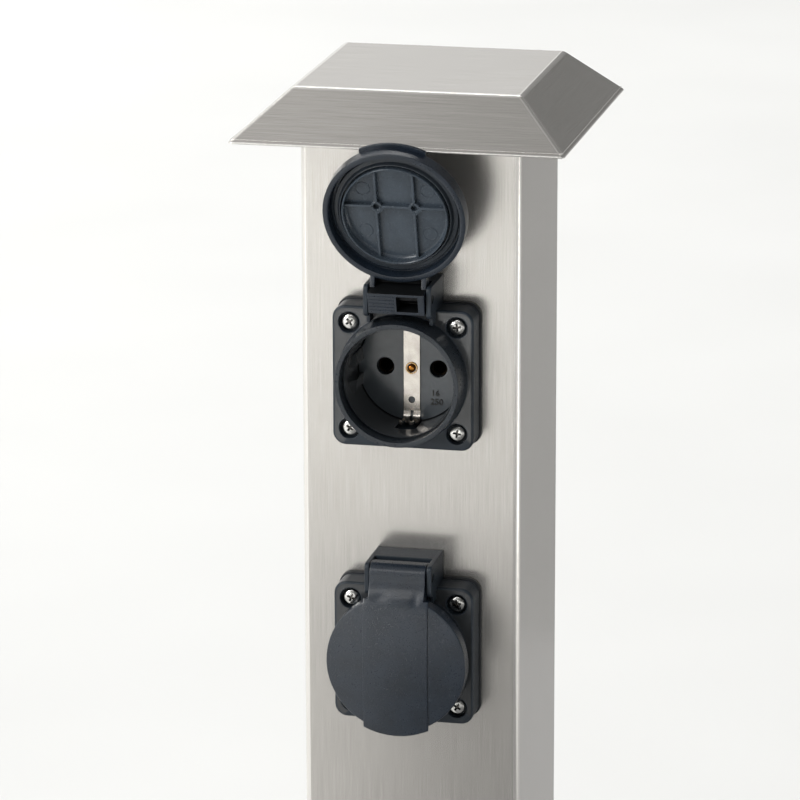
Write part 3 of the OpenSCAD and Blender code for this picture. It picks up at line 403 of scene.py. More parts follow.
@dataclass
class Shape:
    """A mesh in the making, in its sub-assembly's own millimetres."""

    bm: bmesh.types.BMesh = field(default_factory=bmesh.new)

    @classmethod
    def slab(cls, outline: Sequence[Point], low: float, high: float, corner: float = 0.0,
             steps: int = 6, rounded: slice = slice(None)) -> "Shape":
        """A plate with a flat outline.

        Args:
            outline: its corners, in order.
            low: height of its underside.
            high: height of its top.
            corner: radius of its upright corners.
            steps: segments of each round corner.
            rounded: which corners are round.

        Returns:
            The plate, closed.
        """
        shape = cls()
        corners = [shape.bm.verts.new((x, y, low)) for x, y in outline]
        shape.bm.faces.new(corners)
        if corner > 0:
            bmesh.ops.bevel(shape.bm, geom=corners[rounded], offset=corner, offset_type="OFFSET",
                            segments=steps, profile=0.5, affect="VERTICES", material=-1)
        grown = bmesh.ops.extrude_face_region(shape.bm, geom=list(shape.bm.faces))
        top = [v for v in grown["geom"] if isinstance(v, bmesh.types.BMVert)]
        bmesh.ops.translate(shape.bm, verts=top, vec=(0, 0, high - low))
        return shape.outward()

    @classmethod
    def block(cls, low: Sequence[float], high: Sequence[float]) -> "Shape":
        """A box.

        Args:
            low: its low corner.
            high: its high corner.

        Returns:
            The box.
        """
        shape = cls()
        bmesh.ops.create_cube(shape.bm, size=1)
        size = [b - a for a, b in zip(low, high)]
        bmesh.ops.scale(shape.bm, verts=shape.bm.verts, vec=size)
        bmesh.ops.translate(shape.bm, verts=shape.bm.verts, vec=[(a + b) / 2 for a, b in zip(low, high)])
        return shape

    @classmethod
    def lathe(cls, profile: Sequence[Point], steps: int = 96, closed: bool = False) -> "Shape":
        """A profile turned about z.

        Args:
            profile: points of radius and height.
            steps: segments of the turn.
            closed: whether the last point joins the first.

        Returns:
            The turned shape, its poles closed.
        """
        shape = cls()
        points = [shape.bm.verts.new((r, 0, z)) for r, z in profile]
        pairs = list(zip(points, points[1:])) + ([(points[-1], points[0])] if closed else [])
        edges = [shape.bm.edges.new(pair) for pair in pairs]
        bmesh.ops.spin(shape.bm, geom=points + edges, cent=(0, 0, 0), axis=(0, 0, 1), angle=math.tau,
                       steps=steps, use_merge=True)
        bmesh.ops.remove_doubles(shape.bm, verts=shape.bm.verts, dist=MERGE)
        return shape.outward()

    @classmethod
    def rod(cls, radius: float, low: float, high: float, steps: int = 96) -> "Shape":
        """A plain cylinder about z, between two heights."""
        return cls.lathe([(0, low), (radius, low), (radius, high), (0, high)], steps)

    @classmethod
    def ribbon(cls, line: Sequence[Point], left: float, right: float, thick: float,
               columns: int = 4) -> "Shape":
        """A strip of sheet that follows a line in the y-z plane.

        Args:
            line: points of y and z, on the sheet's middle.
            left: its left edge.
            right: its right edge.
            thick: the sheet's thickness.
            columns: segments across its width.

        Returns:
            The bent strip.
        """
        shape = cls()
        points = [shape.bm.verts.new((left, y, z)) for y, z in line]
        edges = [shape.bm.edges.new(pair) for pair in zip(points, points[1:])]
        for _ in range(columns):
            grown = bmesh.ops.extrude_edge_only(shape.bm, edges=edges)
            moved = [v for v in grown["geom"] if isinstance(v, bmesh.types.BMVert)]
            edges = [e for e in grown["geom"] if isinstance(e, bmesh.types.BMEdge)
                     and all(v in moved for v in e.verts)]
            bmesh.ops.translate(shape.bm, verts=moved, vec=((right - left) / columns, 0, 0))
        for vert in shape.bm.verts:
            vert.normal_update()
        shape.bm.normal_update()
        bmesh.ops.solidify(shape.bm, geom=list(shape.bm.faces), thickness=thick / 2)
        return shape.outward()

    @classmethod
    def of_mesh(cls, mesh: bpy.types.Mesh) -> "Shape":
        """A shape from a Blender mesh.

        Args:
            mesh: the mesh, which stays as it is.

        Returns:
            The shape.
        """
        shape = cls()
        shape.bm.from_mesh(mesh)
        return shape

    @classmethod
    def copy_of(cls, node: str) -> "Shape":
        """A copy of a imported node, merged, its flat faces joined, in millimetres.

        Args:
            node: the node's name.

        Returns:
            The copy.
        """
        shape = cls.of_mesh(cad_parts[node].data)
        bmesh.ops.scale(shape.bm, verts=shape.bm.verts, vec=[1 / MM] * 3)
        bmesh.ops.remove_doubles(shape.bm, verts=shape.bm.verts, dist=4 * MERGE)
        bmesh.ops.dissolve_limit(shape.bm, angle_limit=math.radians(1), verts=shape.bm.verts,
                                 edges=shape.bm.edges)
        return shape

    def outward(self) -> "Shape":
        """Turns the faces outwards."""
        bmesh.ops.recalc_face_normals(self.bm, faces=self.bm.faces)
        return self

    def moved(self, x: float = 0, y: float = 0, z: float = 0) -> "Shape":
        """Shifts the shape."""
        bmesh.ops.translate(self.bm, verts=self.bm.verts, vec=(x, y, z))
        return self

    def turned(self, degrees: float, axis: str = "Z") -> "Shape":
        """Turns the shape about an axis through its origin."""
        return self.placed(Matrix.Rotation(math.radians(degrees), 4, axis))

    def mirrored(self, x: float = 1, y: float = 1) -> "Shape":
        """Mirrors the shape where a factor is minus one."""
        return self.placed(Matrix.Diagonal((x, y, 1, 1)))

    def placed(self, matrix: Matrix) -> "Shape":
        """Moves the shape by a matrix, faces kept outwards."""
        bmesh.ops.transform(self.bm, matrix=matrix, verts=self.bm.verts)
        return self.outward() if matrix.determinant() < 0 else self

    def sideways(self) -> "Shape":
        """Lays a plate drawn in (out, up) on edge, so that its thickness runs along x."""
        return self.placed(Matrix(((0, 0, 1, 0), (0, 1, 0, 0), (1, 0, 0, 0), (0, 0, 0, 1))))

    def add(self, *others: "Shape") -> "Shape":
        """Adds other shapes to this one, each as a shell of its own.

        Args:
            others: the shapes, which are used up.

        Returns:
            This shape.
        """
        for other in others:
            mesh = other.as_mesh("added")
            self.bm.from_mesh(mesh)
            bpy.data.meshes.remove(mesh)
        return self

    def as_mesh(self, name: str) -> bpy.types.Mesh:
        """Turns the shape into a Blender mesh, which uses it up.

        Args:
            name: the mesh's name.

        Returns:
            The mesh.
        """
        mesh = bpy.data.meshes.new(name)
        self.bm.to_mesh(mesh)
        self.bm.free()
        return mesh

    def cut_by(self, *tools: "Shape") -> "Shape":
        """Takes other closed shapes out of this one.

        Args:
            tools: the shapes to take away, which are used up.

        Returns:
            This shape with the cuts made.
        """
        body = bpy.data.objects.new("body", self.as_mesh("body"))
        bpy.context.scene.collection.objects.link(body)
        for tool in tools:
            cutter = bpy.data.objects.new("cutter", tool.as_mesh("cutter"))
            bpy.context.scene.collection.objects.link(cutter)
            cut = body.modifiers.new("cut", "BOOLEAN")
            cut.object = cutter
            cut.operation = "DIFFERENCE"
            cut.solver = "EXACT"
            graph = bpy.context.evaluated_depsgraph_get()
            done = bpy.data.meshes.new_from_object(body.evaluated_get(graph))
            body.modifiers.clear()
            old, body.data = body.data, done
            bpy.data.meshes.remove(old)
            bpy.data.meshes.remove(cutter.data)
        result = Shape.of_mesh(body.data)
        bpy.data.meshes.remove(body.data)
        self.bm = result.bm
        return self

    def eased(self, width: float, steps: int = 2, sharper: float = 30.0,
              where: Within = EVERYWHERE) -> "Shape":
        """Rounds sharp edges.

        Args:
            width: how far the rounding reaches from the edge.
            steps: segments of the rounding.
            sharper: the least angle of an edge that is rounded, in degrees.
            where: bounds for the edges' middles.

        Returns:
            This shape.
        """
        limit = math.radians(sharper)
        edges = [e for e in self.bm.edges
                 if e.calc_face_angle(0.0) > limit and where.holds((e.verts[0].co + e.verts[1].co) / 2)]
        bmesh.ops.bevel(self.bm, geom=edges, offset=width, offset_type="OFFSET", segments=steps, profile=0.5,
                        affect="EDGES", clamp_overlap=True, material=-1)
        return self

    def pushed(self, rule: Callable[[Vector], Vector]) -> "Shape":
        """Moves each vertex by what a rule gives for its place.

        Args:
            rule: takes a place and gives the shift.

        Returns:
            This shape.
        """
        for vert in self.bm.verts:
            vert.co += rule(vert.co)
        return self

    def sliced(self, axis: str, low: float, high: float, count: int) -> "Shape":
        """Cuts the faces at even distances along an axis, so that they can be bent.

        Args:
            axis: X, Y or Z.
            low: where the first part begins.
            high: where the last part ends.
            count: how many parts.

        Returns:
            This shape.
        """
        normal = [float(letter == axis) for letter in "XYZ"]
        for i in range(1, count):
            at = low + (high - low) * i / count
            geometry = list(self.bm.verts) + list(self.bm.edges) + list(self.bm.faces)
            bmesh.ops.bisect_plane(self.bm, geom=geometry, dist=MERGE, plane_co=[at * n for n in normal],
                                   plane_no=normal)
        return self

    def painted(self, index: int, test: Callable[[bmesh.types.BMFace], bool] = EVERYWHERE.takes) -> "Shape":
        """Gives faces another of the piece's materials.

        Args:
            index: the material's place in the piece's list.
            test: picks the faces.

        Returns:
            This shape.
        """
        for face in self.bm.faces:
            if test(face):
                face.material_index = index
        return self


@dataclass
class Builder:
    """Turns shapes into pieces that ride on the frame's bodies, and reports each."""

    made: list[str] = field(default_factory=list)

    def piece(self, name: str, shape: Shape, body: str, slot: str, finishes: Sequence[Finish],
              place: Matrix | None = None, nodes: Iterable[str] = (),
              crease: float = 40.0) -> bpy.types.Object:
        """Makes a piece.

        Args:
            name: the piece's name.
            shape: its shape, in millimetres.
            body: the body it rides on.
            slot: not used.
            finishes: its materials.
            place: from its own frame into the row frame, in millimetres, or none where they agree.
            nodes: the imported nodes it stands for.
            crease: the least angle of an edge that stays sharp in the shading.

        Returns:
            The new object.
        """
        shape.placed(Matrix.Scale(MM, 4) @ (Matrix() if place is None else place))
        mesh = shape.as_mesh(name)
        for polygon in mesh.polygons:
            polygon.use_smooth = True
        mesh.set_sharp_from_angle(angle=math.radians(crease))
        for finish in finishes:
            mesh.materials.append(finish.material())
        thing = bpy.data.objects.new(name, mesh)
        bpy.context.scene.collection.objects.link(thing)
        even = thing.modifiers.new("even_shading", "WEIGHTED_NORMAL")
        even.keep_sharp = True
        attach(thing, body)
        if nodes:
            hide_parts(*nodes)
        self.made.append(name)
        log.info("%s: %d faces, rides on %s", name, len(mesh.polygons), body)
        return thing

    def dress(self, node: str, finish: Finish) -> None:
        """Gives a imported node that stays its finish.

        Args:
            node: the node's name.
            finish: its finish.
        """
        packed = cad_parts[node]
        for holder in packed.material_slots:
            holder.material = finish.material()
        if not packed.material_slots:
            packed.data.materials.append(finish.material())
        log.info("%s: packed node in %s", node, finish.name)


def bow(centre: Point, radius: float, start: float, end: float, steps: int = 4) -> list[Point]:
    """Points on an arc.

    Args:
        centre: the arc's centre.
        radius: its radius.
        start: first angle, in degrees.
        end: last angle, in degrees.
        steps: segments.

    Returns:
        The points, both ends included.
    """
    angles = [math.radians(start + (end - start) * i / steps) for i in range(steps + 1)]
    return [(centre[0] + radius * math.cos(a), centre[1] + radius * math.sin(a)) for a in angles]


def box_outline(width: float, height: float) -> list[Point]:
    """Corners of a rectangle about its middle."""
    half, rise = width / 2, height / 2
    return [(-half, -rise), (half, -rise), (half, rise), (-half, rise)]


@dataclass(frozen=True)
class PanScrew:
    """A pan-head screw with a cross recess; its head stands on z = 0."""

    radius: float = 2.95
    height: float = 2.1
    cross: float = 1.95
    slot: float = 0.9
    # The crown's outline, in shares of the head's radius and height
    crown: Sequence[Point] = ((1.0, 0.5), (0.985, 0.63), (0.93, 0.77), (0.8, 0.9), (0.55, 0.98))
    # How deep the recess is, in shares of the height, and how much its bars narrow to the bottom
    sink: float = 0.62
    taper: Point = (0.45, 0.7)
    # Steep faces below the first share of the height, and all faces below the second, are recess
    recess_shares: Point = (0.93, 0.55)

    def head(self, turn: float) -> Shape:
        """The head.

        Args:
            turn: angle of its recess, in degrees.

        Returns:
            The head, its recess in the second material.
        """
        outline = [(self.radius * out, self.height * up) for out, up in self.crown]
        head = Shape.lathe([(0, 0), (self.radius, 0)] + outline + [(0, self.height)], steps=48)
        head.cut_by(self.arm(turn), self.arm(turn + 90))
        head.bm.normal_update()
        # The cross recess takes the darker zinc: painted shade.
        return head.painted(1, self.in_cross)

    def in_cross(self, face: bmesh.types.BMFace) -> bool:
        """Whether a face is part of the recess: a wall of it, or deep enough to be its floor.

        Args:
            face: a face of the head.

        Returns:
            Whether it is.
        """
        middle = face.calc_center_median()
        high, deep = (self.height * share for share in self.recess_shares)
        inside = 0.2 < middle.z < high and middle.to_2d().length < self.cross * 0.98
        return inside and (abs(face.normal.z) < 0.5 or middle.z < deep)

    def arm(self, turn: float) -> Shape:
        """One bar of the cross, tapered to its bottom, as a tool for the cut.

        Args:
            turn: its angle, in degrees.

        Returns:
            The tool.
        """
        bottom = self.height - self.height * self.sink
        half = self.slot / 2
        bar = Shape.block((-self.cross, -half, bottom), (self.cross, half, self.height + 1))
        for vert in bar.bm.verts:
            if vert.co.z < self.height:
                vert.co.x *= self.taper[0]
                vert.co.y *= self.taper[1]
        return bar.turned(turn)


@dataclass(frozen=True)
class SocketSizes:
    """Sizes that a socket and its lid share, in the socket's frame: x right, y up, z out of the post."""

    post_front: float = 35.0
    flange: float = 50.0
    flange_corner: float = 4.5
    gasket: float = 1.7
    flange_front: float = 12.0
    screw_pitch: float = 38.0
    screw_seat: float = 9.2
    rim: float = 22.75
    recess: float = 19.3
    face: float = -2.75
    insert_back: float = -13.75
    hinge_up: float = 30.3
    hinge_out: float = 18.0
    hood_half: float = 11.9
    cheek: float = 1.7
    hood_low: float = 23.7
    hood_top: float = 35.0
    hood_reach: float = 11.02
    pin_pitch: float = 19.0
    strip_half: float = 2.95

    def place(self, height: float, swing: float = 0.0) -> Matrix:
        """From the socket's frame to the row frame, in millimetres.

        Args:
            height: height of the socket's centre above the floor.
            swing: how far the lid is open, in degrees.

        Returns:
            The matrix.
        """
        hinge = Matrix.Translation((0, self.hinge_up, self.hinge_out))
        opened = hinge @ Matrix.Rotation(math.radians(-swing), 4, "X") @ hinge.inverted()
        upright = Matrix.Rotation(math.radians(90), 4, "X")
        return Matrix.Translation((0, -self.post_front, height)) @ upright @ opened


@dataclass
class Socket:
    """One flange socket without its lid."""

    level: str
    height: float
    screw_turns: Sequence[float]
    builder: Builder
    sizes: SocketSizes = SocketSizes()
    gasket_spare: float = 0.6
    gasket_round: float = 0.55
    gasket_bore: float = 21.5
    flange_bore: float = 22.0
    flange_round: float = 0.85
    flange_back_round: float = 0.3
    counterbore_radius: float = 3.65
    collar_low: float = 22.6
    collar_high: float = 21.9
    rim_inner: float = 20.2
    rim_round: float = 0.2
    mouth: float = 5.0
    seat_drop: float = 1.2
    barrel: float = 21.2
    notch_half: float = 3.7
    notch_reach: float = 20.5
    guide_reach: float = 17.1
    guide_root: float = 19.6
    guide_ends: Point = (2.4, 6.9)
    guide_length: float = 15.0
    guide_slope: float = 4.2
    guide_wedge: float = 0.5
    guide_round: float = 0.2
    hood_round: float = 1.8
    edge_round: float = 0.28
    pin_bore: float = 1.55
    gusset_low: float = 20.6
    gusset_front: float = 16.6
    gusset_thick: float = 1.3
    number_size: float = 3.0
    number_thick: float = 0.2
    number_bold: float = 0.07
    # The rating: its digits, and where each number's middle and foot are
    numbers: Sequence[tuple[str, float, float]] = (("16", 8.4, -9.8), ("250", 8.9, -12.9))
    pin_hole: float = 3.0
    strip_end: float = 15.3
    strip_thick: float = 0.8
    strip_gap: float = 0.25
    strip_round: float = 0.12
    channel_half: float = 21.0
    prong_gap: float = 0.55
    prong_dish: float = 0.35
    prong_narrow: float = 0.35
    small_hole: Point = (1.1, -11.5)
    rivet_radius: float = 1.4
    ring_radii: Point = (1.72, 2.12)
    ring_gaps: Point = (-25, -75)
    shank: float = 1.9
    shank_end: float = -6.2
    pin_radius: float = 1.5
    # A prong's bend: how far along the strip and how far out of it
    prong_line: Sequence[Point] = (
        (15.2, 0.0), (16.4, 0.0), (17.3, 0.35), (18.2, 1.2), (18.75, 2.3), (18.9, 3.6), (18.6, 5.0),
        (17.9, 6.6), (17.0, 7.9), (16.7, 8.6), (16.8, 9.4), (17.5, 10.2))

    # Places of the housing's materials after its own
    WALL, COLLAR = 1, 2

    def build(self) -> None:
        """Builds every piece of the socket, from the post's face outwards."""
        self.gasket()
        self.housing()
        self.insert()
        self.earth_strip()
        self.rivet()
        self.screws()
        self.pin()

    def put(self, name: str, shape: Shape, slot: str, finishes: Sequence[Finish], node: str,
            crease: float = 40.0) -> None:
        """Makes one fixed piece of this socket.

        Args:
            name: the piece's name without its level.
            shape: its shape.
            slot: its material slot in the record.
            finishes: its materials.
            node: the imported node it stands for, without its level.
            crease: the least angle that stays sharp.
        """
        self.builder.piece(f"{self.level}_{name}", shape, "post_body", slot, finishes,
                           self.sizes.place(self.height), [f"{self.level}_{node}"], crease)

    def gasket(self) -> None:
        """The rubber gasket, squeezed a little round at its edge."""
        s = self.sizes
        width = s.flange + 2 * self.gasket_spare
        plate = Shape.slab(box_outline(width, width), 0.0, s.gasket, s.flange_corner + self.gasket_spare, 8)
        plate.eased(self.gasket_round, 3, 60)
        side = s.hood_half + 0.2
        hood_room = Shape.block((-side, s.hood_low - 0.2, -1), (side, s.flange, 3))
        plate.cut_by(Shape.rod(self.gasket_bore, -1, 3), hood_room)
        self.put("gasket_squeezed", plate, "black_rubber", [RUBBER], "gasket")

    def counterbore(self, x: float, y: float) -> Shape:
        """A flared tool for the recess around one screw.

        Args:
            x: the screw's place across.
            y: its place up.

        Returns:
            The tool.
        """
        wall, low, top = self.counterbore_radius, self.sizes.screw_seat, self.sizes.flange_front
        profile = [(0, low), (wall, low), (wall, top - 0.35), (wall + 0.12, top - 0.12),
                   (wall + 0.4, top + 0.02), (wall + 0.4, top + 2), (0, top + 2)]
        return Shape.lathe(profile, 48).moved(x, y)

    def collar(self) -> Shape:
        """The collar with its recess, mouth and groove, and the barrel behind the flange.

        Returns:
            The collar.
        """
        s = self.sizes
        mouth = s.rim - self.mouth
        groove = mouth - self.seat_drop
        ring = self.rim_inner - 0.5
        soft = self.rim_round
        profile = [(s.recess, s.insert_back), (s.recess, mouth - 0.15), (s.recess + 0.1, mouth),
                   (ring - 0.1, mouth), (ring, mouth - 0.15), (ring, groove), (self.rim_inner, groove)]
        profile += bow((self.rim_inner + soft, s.rim - soft), soft, 180, 90, 3)
        profile += bow((self.collar_high - soft, s.rim - soft), soft, 90, 5, 3)
        foot, front, behind = self.collar_low, s.flange_front, s.gasket + 0.2
        profile += [(foot - 0.02, front + 0.5), (foot + 0.12, front + 0.15), (foot + 0.45, front - 0.02),
                    (foot, front - 1), (foot, behind), (self.barrel, behind), (self.barrel, s.insert_back)]
        tube = Shape.lathe(profile, 120, closed=True)
        notch = Shape.block((-self.notch_half, -self.notch_reach, s.insert_back - 1),
                            (self.notch_half, self.notch_reach, s.face + 11))
        core = Shape.rod(17.5, s.insert_back - 2, s.rim, 48)
        return tube.cut_by(notch.cut_by(core))

    def guides(self) -> list[Shape]:
        """The four ribs beside the pins that guide a plug, each with a sloped front end.

        Returns:
            The ribs.
        """
        face, tip = self.sizes.face, self.sizes.face + self.guide_length
        near, far = self.guide_ends
        ribs = []
        for x in (-1, 1):
            for y in (-1, 1):
                rib = Shape.block((self.guide_reach, near, face), (self.guide_root, far, tip))
                for vert in rib.bm.verts:
                    inner = vert.co.x < self.guide_root - 0.5
                    if inner and vert.co.z > tip - 0.5:
                        vert.co.z -= self.guide_slope
                    if inner and vert.co.y > far - 0.5:
                        vert.co.x += self.guide_wedge
                ribs.append(rib.eased(self.guide_round).mirrored(x, y))
        return ribs

    def hood(self) -> list[Shape]:
        """The hood over the hinge: two cheeks with gussets, a top plate, a back web and a foot.

        Returns:
            Its parts.
        """
        s = self.sizes
        front = s.hinge_out + 3.0
        outline = [(0.3, s.hood_low), (front, s.hood_low), (front, s.hood_top), (0.3, s.hood_top)]
        parts = []
        for side in (-1, 1):
            cheek = Shape.slab(outline, 0.0, s.cheek, self.hood_round, 8, slice(1, 3))
            cheek.eased(self.edge_round, 3, 50).sideways().moved(s.hood_half - s.cheek)
            bore = self.pin_bore
            hole = Shape.lathe([(0, -1), (bore + 0.15, -1), (bore, 0.3), (bore, 3), (0, 3)], 32)
            cheek.cut_by(hole.turned(-90, "Y").moved(s.hood_half, s.hinge_up, s.hinge_out))
            parts.append(cheek.mirrored(side))
            outer = s.hood_half - 0.2
            gusset = Shape.block((outer - self.gusset_thick, self.gusset_low, s.flange_front - 0.5),
                                 (outer, s.hood_low + 0.4, self.gusset_front))
            parts.append(gusset.eased(0.25, 2).mirrored(side))
        inner = s.hood_half - s.cheek + 0.2
        top = Shape.block((-inner, s.hood_top - s.cheek, 0.4), (inner, s.hood_top, s.hood_reach))
        web = Shape.block((-inner, s.hood_low, 0.3), (inner, s.hood_top - 0.3, 2.0))
        half = s.hood_half - 0.3
        foot = Shape.block((-half, s.hood_low, s.gasket), (half, s.flange / 2 + 0.6, s.flange_front - 1))
        return parts + [top.eased(self.edge_round, 3), web, foot.eased(0.25, 2)]

    def housing(self) -> None:
        """The flange with its collar, guides and hood."""
        s = self.sizes
        plate = Shape.slab(box_outline(s.flange, s.flange), s.gasket, s.flange_front, s.flange_corner, 8)
        plate.eased(self.flange_round, 4, 60, Within(low=s.flange_front - 0.01))
        plate.eased(self.flange_back_round, 2, 60, Within(high=s.gasket + 0.01))
        half = s.screw_pitch / 2
        bores = [self.counterbore(x, y) for x in (-half, half) for y in (-half, half)]
        plate.cut_by(Shape.rod(self.flange_bore, 0, 14), *bores)
        collar = self.collar().painted(self.COLLAR, Within(low=s.flange_front + 0.3).takes)
        plate.add(collar, *self.guides(), *self.hood())
        # The recess's wall takes the darker plastic: painted shade inside the recess.
        recess = Within(high=s.rim - self.mouth - 0.05, reach=s.recess + 0.35)
        plate.painted(self.WALL, recess.takes)
        finishes = [HOUSING_PLASTIC, WALL_PLASTIC, COLLAR_PLASTIC]
        self.put("housing_shell", plate, "dark_plastic", finishes, "housing", 35)

    def number(self, text: str, x: float, y: float) -> Shape:
        """A raised plain number on the insert's face.

        Args:
            text: its digits.
            x: its middle.
            y: its foot.

        Returns:
            The digits as a shape.
        """
        curve = bpy.data.curves.new("number", "FONT")
        curve.body = text
        curve.size = self.number_size
        curve.align_x = "CENTER"
        curve.extrude = self.number_thick
        curve.offset = self.number_bold
        curve.resolution_u = 3
        holder = bpy.data.objects.new("number", curve)
        bpy.context.scene.collection.objects.link(holder)
        graph = bpy.context.evaluated_depsgraph_get()
        digits = Shape.of_mesh(bpy.data.meshes.new_from_object(holder.evaluated_get(graph)))
        bpy.data.objects.remove(holder)
        bmesh.ops.remove_doubles(digits.bm, verts=digits.bm.verts, dist=MERGE)
        return digits.moved(x, y, self.sizes.face + 0.04)

    def insert(self) -> None:
        """The contact insert with its pin holes, the strip's channel and the rating numbers."""
        s = self.sizes
        r = s.recess - 0.2
        disc = Shape.lathe([(0, s.insert_back), (r, s.insert_back), (r, s.face - 0.3),
                            (r - 0.1, s.face - 0.1), (r - 0.3, s.face), (0, s.face)])
        half = s.strip_half + self.strip_gap
        end = self.channel_half
        tools = [Shape.block((-half, -end, s.face - 0.5), (half, end, s.face + 1))]
        hole = self.pin_hole
        for side in (-1, 1):
            flare = [(0, -20), (hole, -20), (hole, s.face - 0.35), (hole + 0.12, s.face - 0.1),
                     (hole + 0.4, s.face + 0.01), (hole + 0.4, s.face + 1), (0, s.face + 1)]
            tools.append(Shape.lathe(flare, 64).moved(side * s.pin_pitch / 2))
        disc.cut_by(*tools)
        for digits, x, y in self.numbers:
            disc.add(self.number(digits, x, y).painted(1))
        self.put("insert_face", disc, "dark_plastic", [RECESS_PLASTIC, NUMBER_PLASTIC], "insert", 35)

    def prong(self, side: float, up: float) -> Shape:
        """One spring prong: it bends forward, bulges inward at its tip and is dished along its length.

        Args:
            side: minus one for the left prong, one for the right.
            up: minus one at the lower end of the strip, one at the upper.

        Returns:
            The prong.
        """
        s = self.sizes
        middle = s.face - 0.1
        bent = Shape.ribbon([(y, out + middle) for y, out in self.prong_line], self.prong_gap, s.strip_half,
                            self.strip_thick, 6)
        centre = (self.prong_gap + s.strip_half) / 2
        half = (s.strip_half - self.prong_gap) / 2

        def dish(co: Vector) -> Vector:
            """Sinks the prong's middle and narrows its tip.

            Args:
                co: a place on the prong.

            Returns:
                How far it moves.
            """
            across = (co.x - centre) / half
            out = max(0.0, min(1.0, (co.z - middle) / 10))
            hollow = self.prong_dish * (1 - across * across) * min(1.0, out * 4)
            return Vector((-across * half * self.prong_narrow * out * out, hollow, -0.2 * hollow))

        return bent.pushed(dish).mirrored(side, up)

    def earth_strip(self) -> None:
        """The nickel strip with its small hole and four prongs."""
        s = self.sizes
        middle = s.face - 0.1
        half = self.strip_thick / 2
        flat = Shape.block((-s.strip_half, -self.strip_end, middle - half),
                           (s.strip_half, self.strip_end, middle + half)).eased(self.strip_round)
        hole, along = self.small_hole
        flare = [(0, -5), (hole, -5), (hole, middle + 0.3), (hole + 0.15, middle + 0.41),
                 (hole + 0.15, 0), (0, 0)]
        flat.cut_by(Shape.rod(self.rivet_radius + 0.2, -5, 0, 32), Shape.lathe(flare, 32).moved(0, along))
        for side in (-1, 1):
            for up in (-1, 1):
                flat.add(self.prong(side, up))
        self.put("earth_strip_bent", flat, "nickel", [NICKEL], "earth_strip", 35)

    def rivet(self) -> None:
        """The rivet: a split ring around a domed head."""
        seat = self.sizes.face + 0.3
        head, inner, outer = self.rivet_radius, *self.ring_radii
        dome = [(0, seat - 2), (head, seat - 2), (head, seat + 0.25), (head - 0.12, seat + 0.6),
                (0.95, seat + 0.82), (0.45, seat + 0.9), (0, seat + 0.9)]
        profile = [(inner, seat), (inner, seat + 0.35), (inner + 0.08, seat + 0.45),
                   (outer - 0.1, seat + 0.45), (outer, seat + 0.35), (outer, seat)]
        gaps = [Shape.block((1.2, -0.18, seat - 1), (2.6, 0.18, seat + 1)).turned(angle)
                for angle in self.ring_gaps]
        ring = Shape.lathe(profile, 48, closed=True).cut_by(*gaps)
        rivet = Shape.lathe(dome, 40).painted(1).add(ring)
        self.put("earth_rivet_head", rivet, "brass", [RIVET_RING, RIVET_BRASS], "earth_rivet")

    def screws(self) -> None:
        """The four fixing screws, each recess turned its own way."""
        s = self.sizes
        half = s.screw_pitch / 2
        corners = [(-half, half), (half, half), (-half, -half), (half, -half)]
        shape = Shape()
        for (x, y), turn in zip(corners, self.screw_turns):
            shank = Shape.rod(self.shank, self.shank_end, s.screw_seat, 24).moved(x, y)
            shape.add(PanScrew().head(turn).moved(x, y, s.screw_seat), shank)
        self.put("fixing_screws_cross", shape, "zinc_screw", [ZINC, RECESS_DARK], "fixing_screws", 30)

    def pin(self) -> None:
        """The hinge pin, blackened, its ends chamfered."""
        s = self.sizes
        half = s.hood_half - 0.2
        r = self.pin_radius
        profile = [(0, -half), (r - 0.2, -half), (r, -half + 0.2), (r, half - 0.2), (r - 0.2, half),
                   (0, half)]
        rod = Shape.lathe(profile, 32).turned(90, "Y").moved(0, s.hinge_up, s.hinge_out)
        self.put("hinge_pin_turned", rod, "zinc_screw", [DARK_STEEL], "hinge_pin")


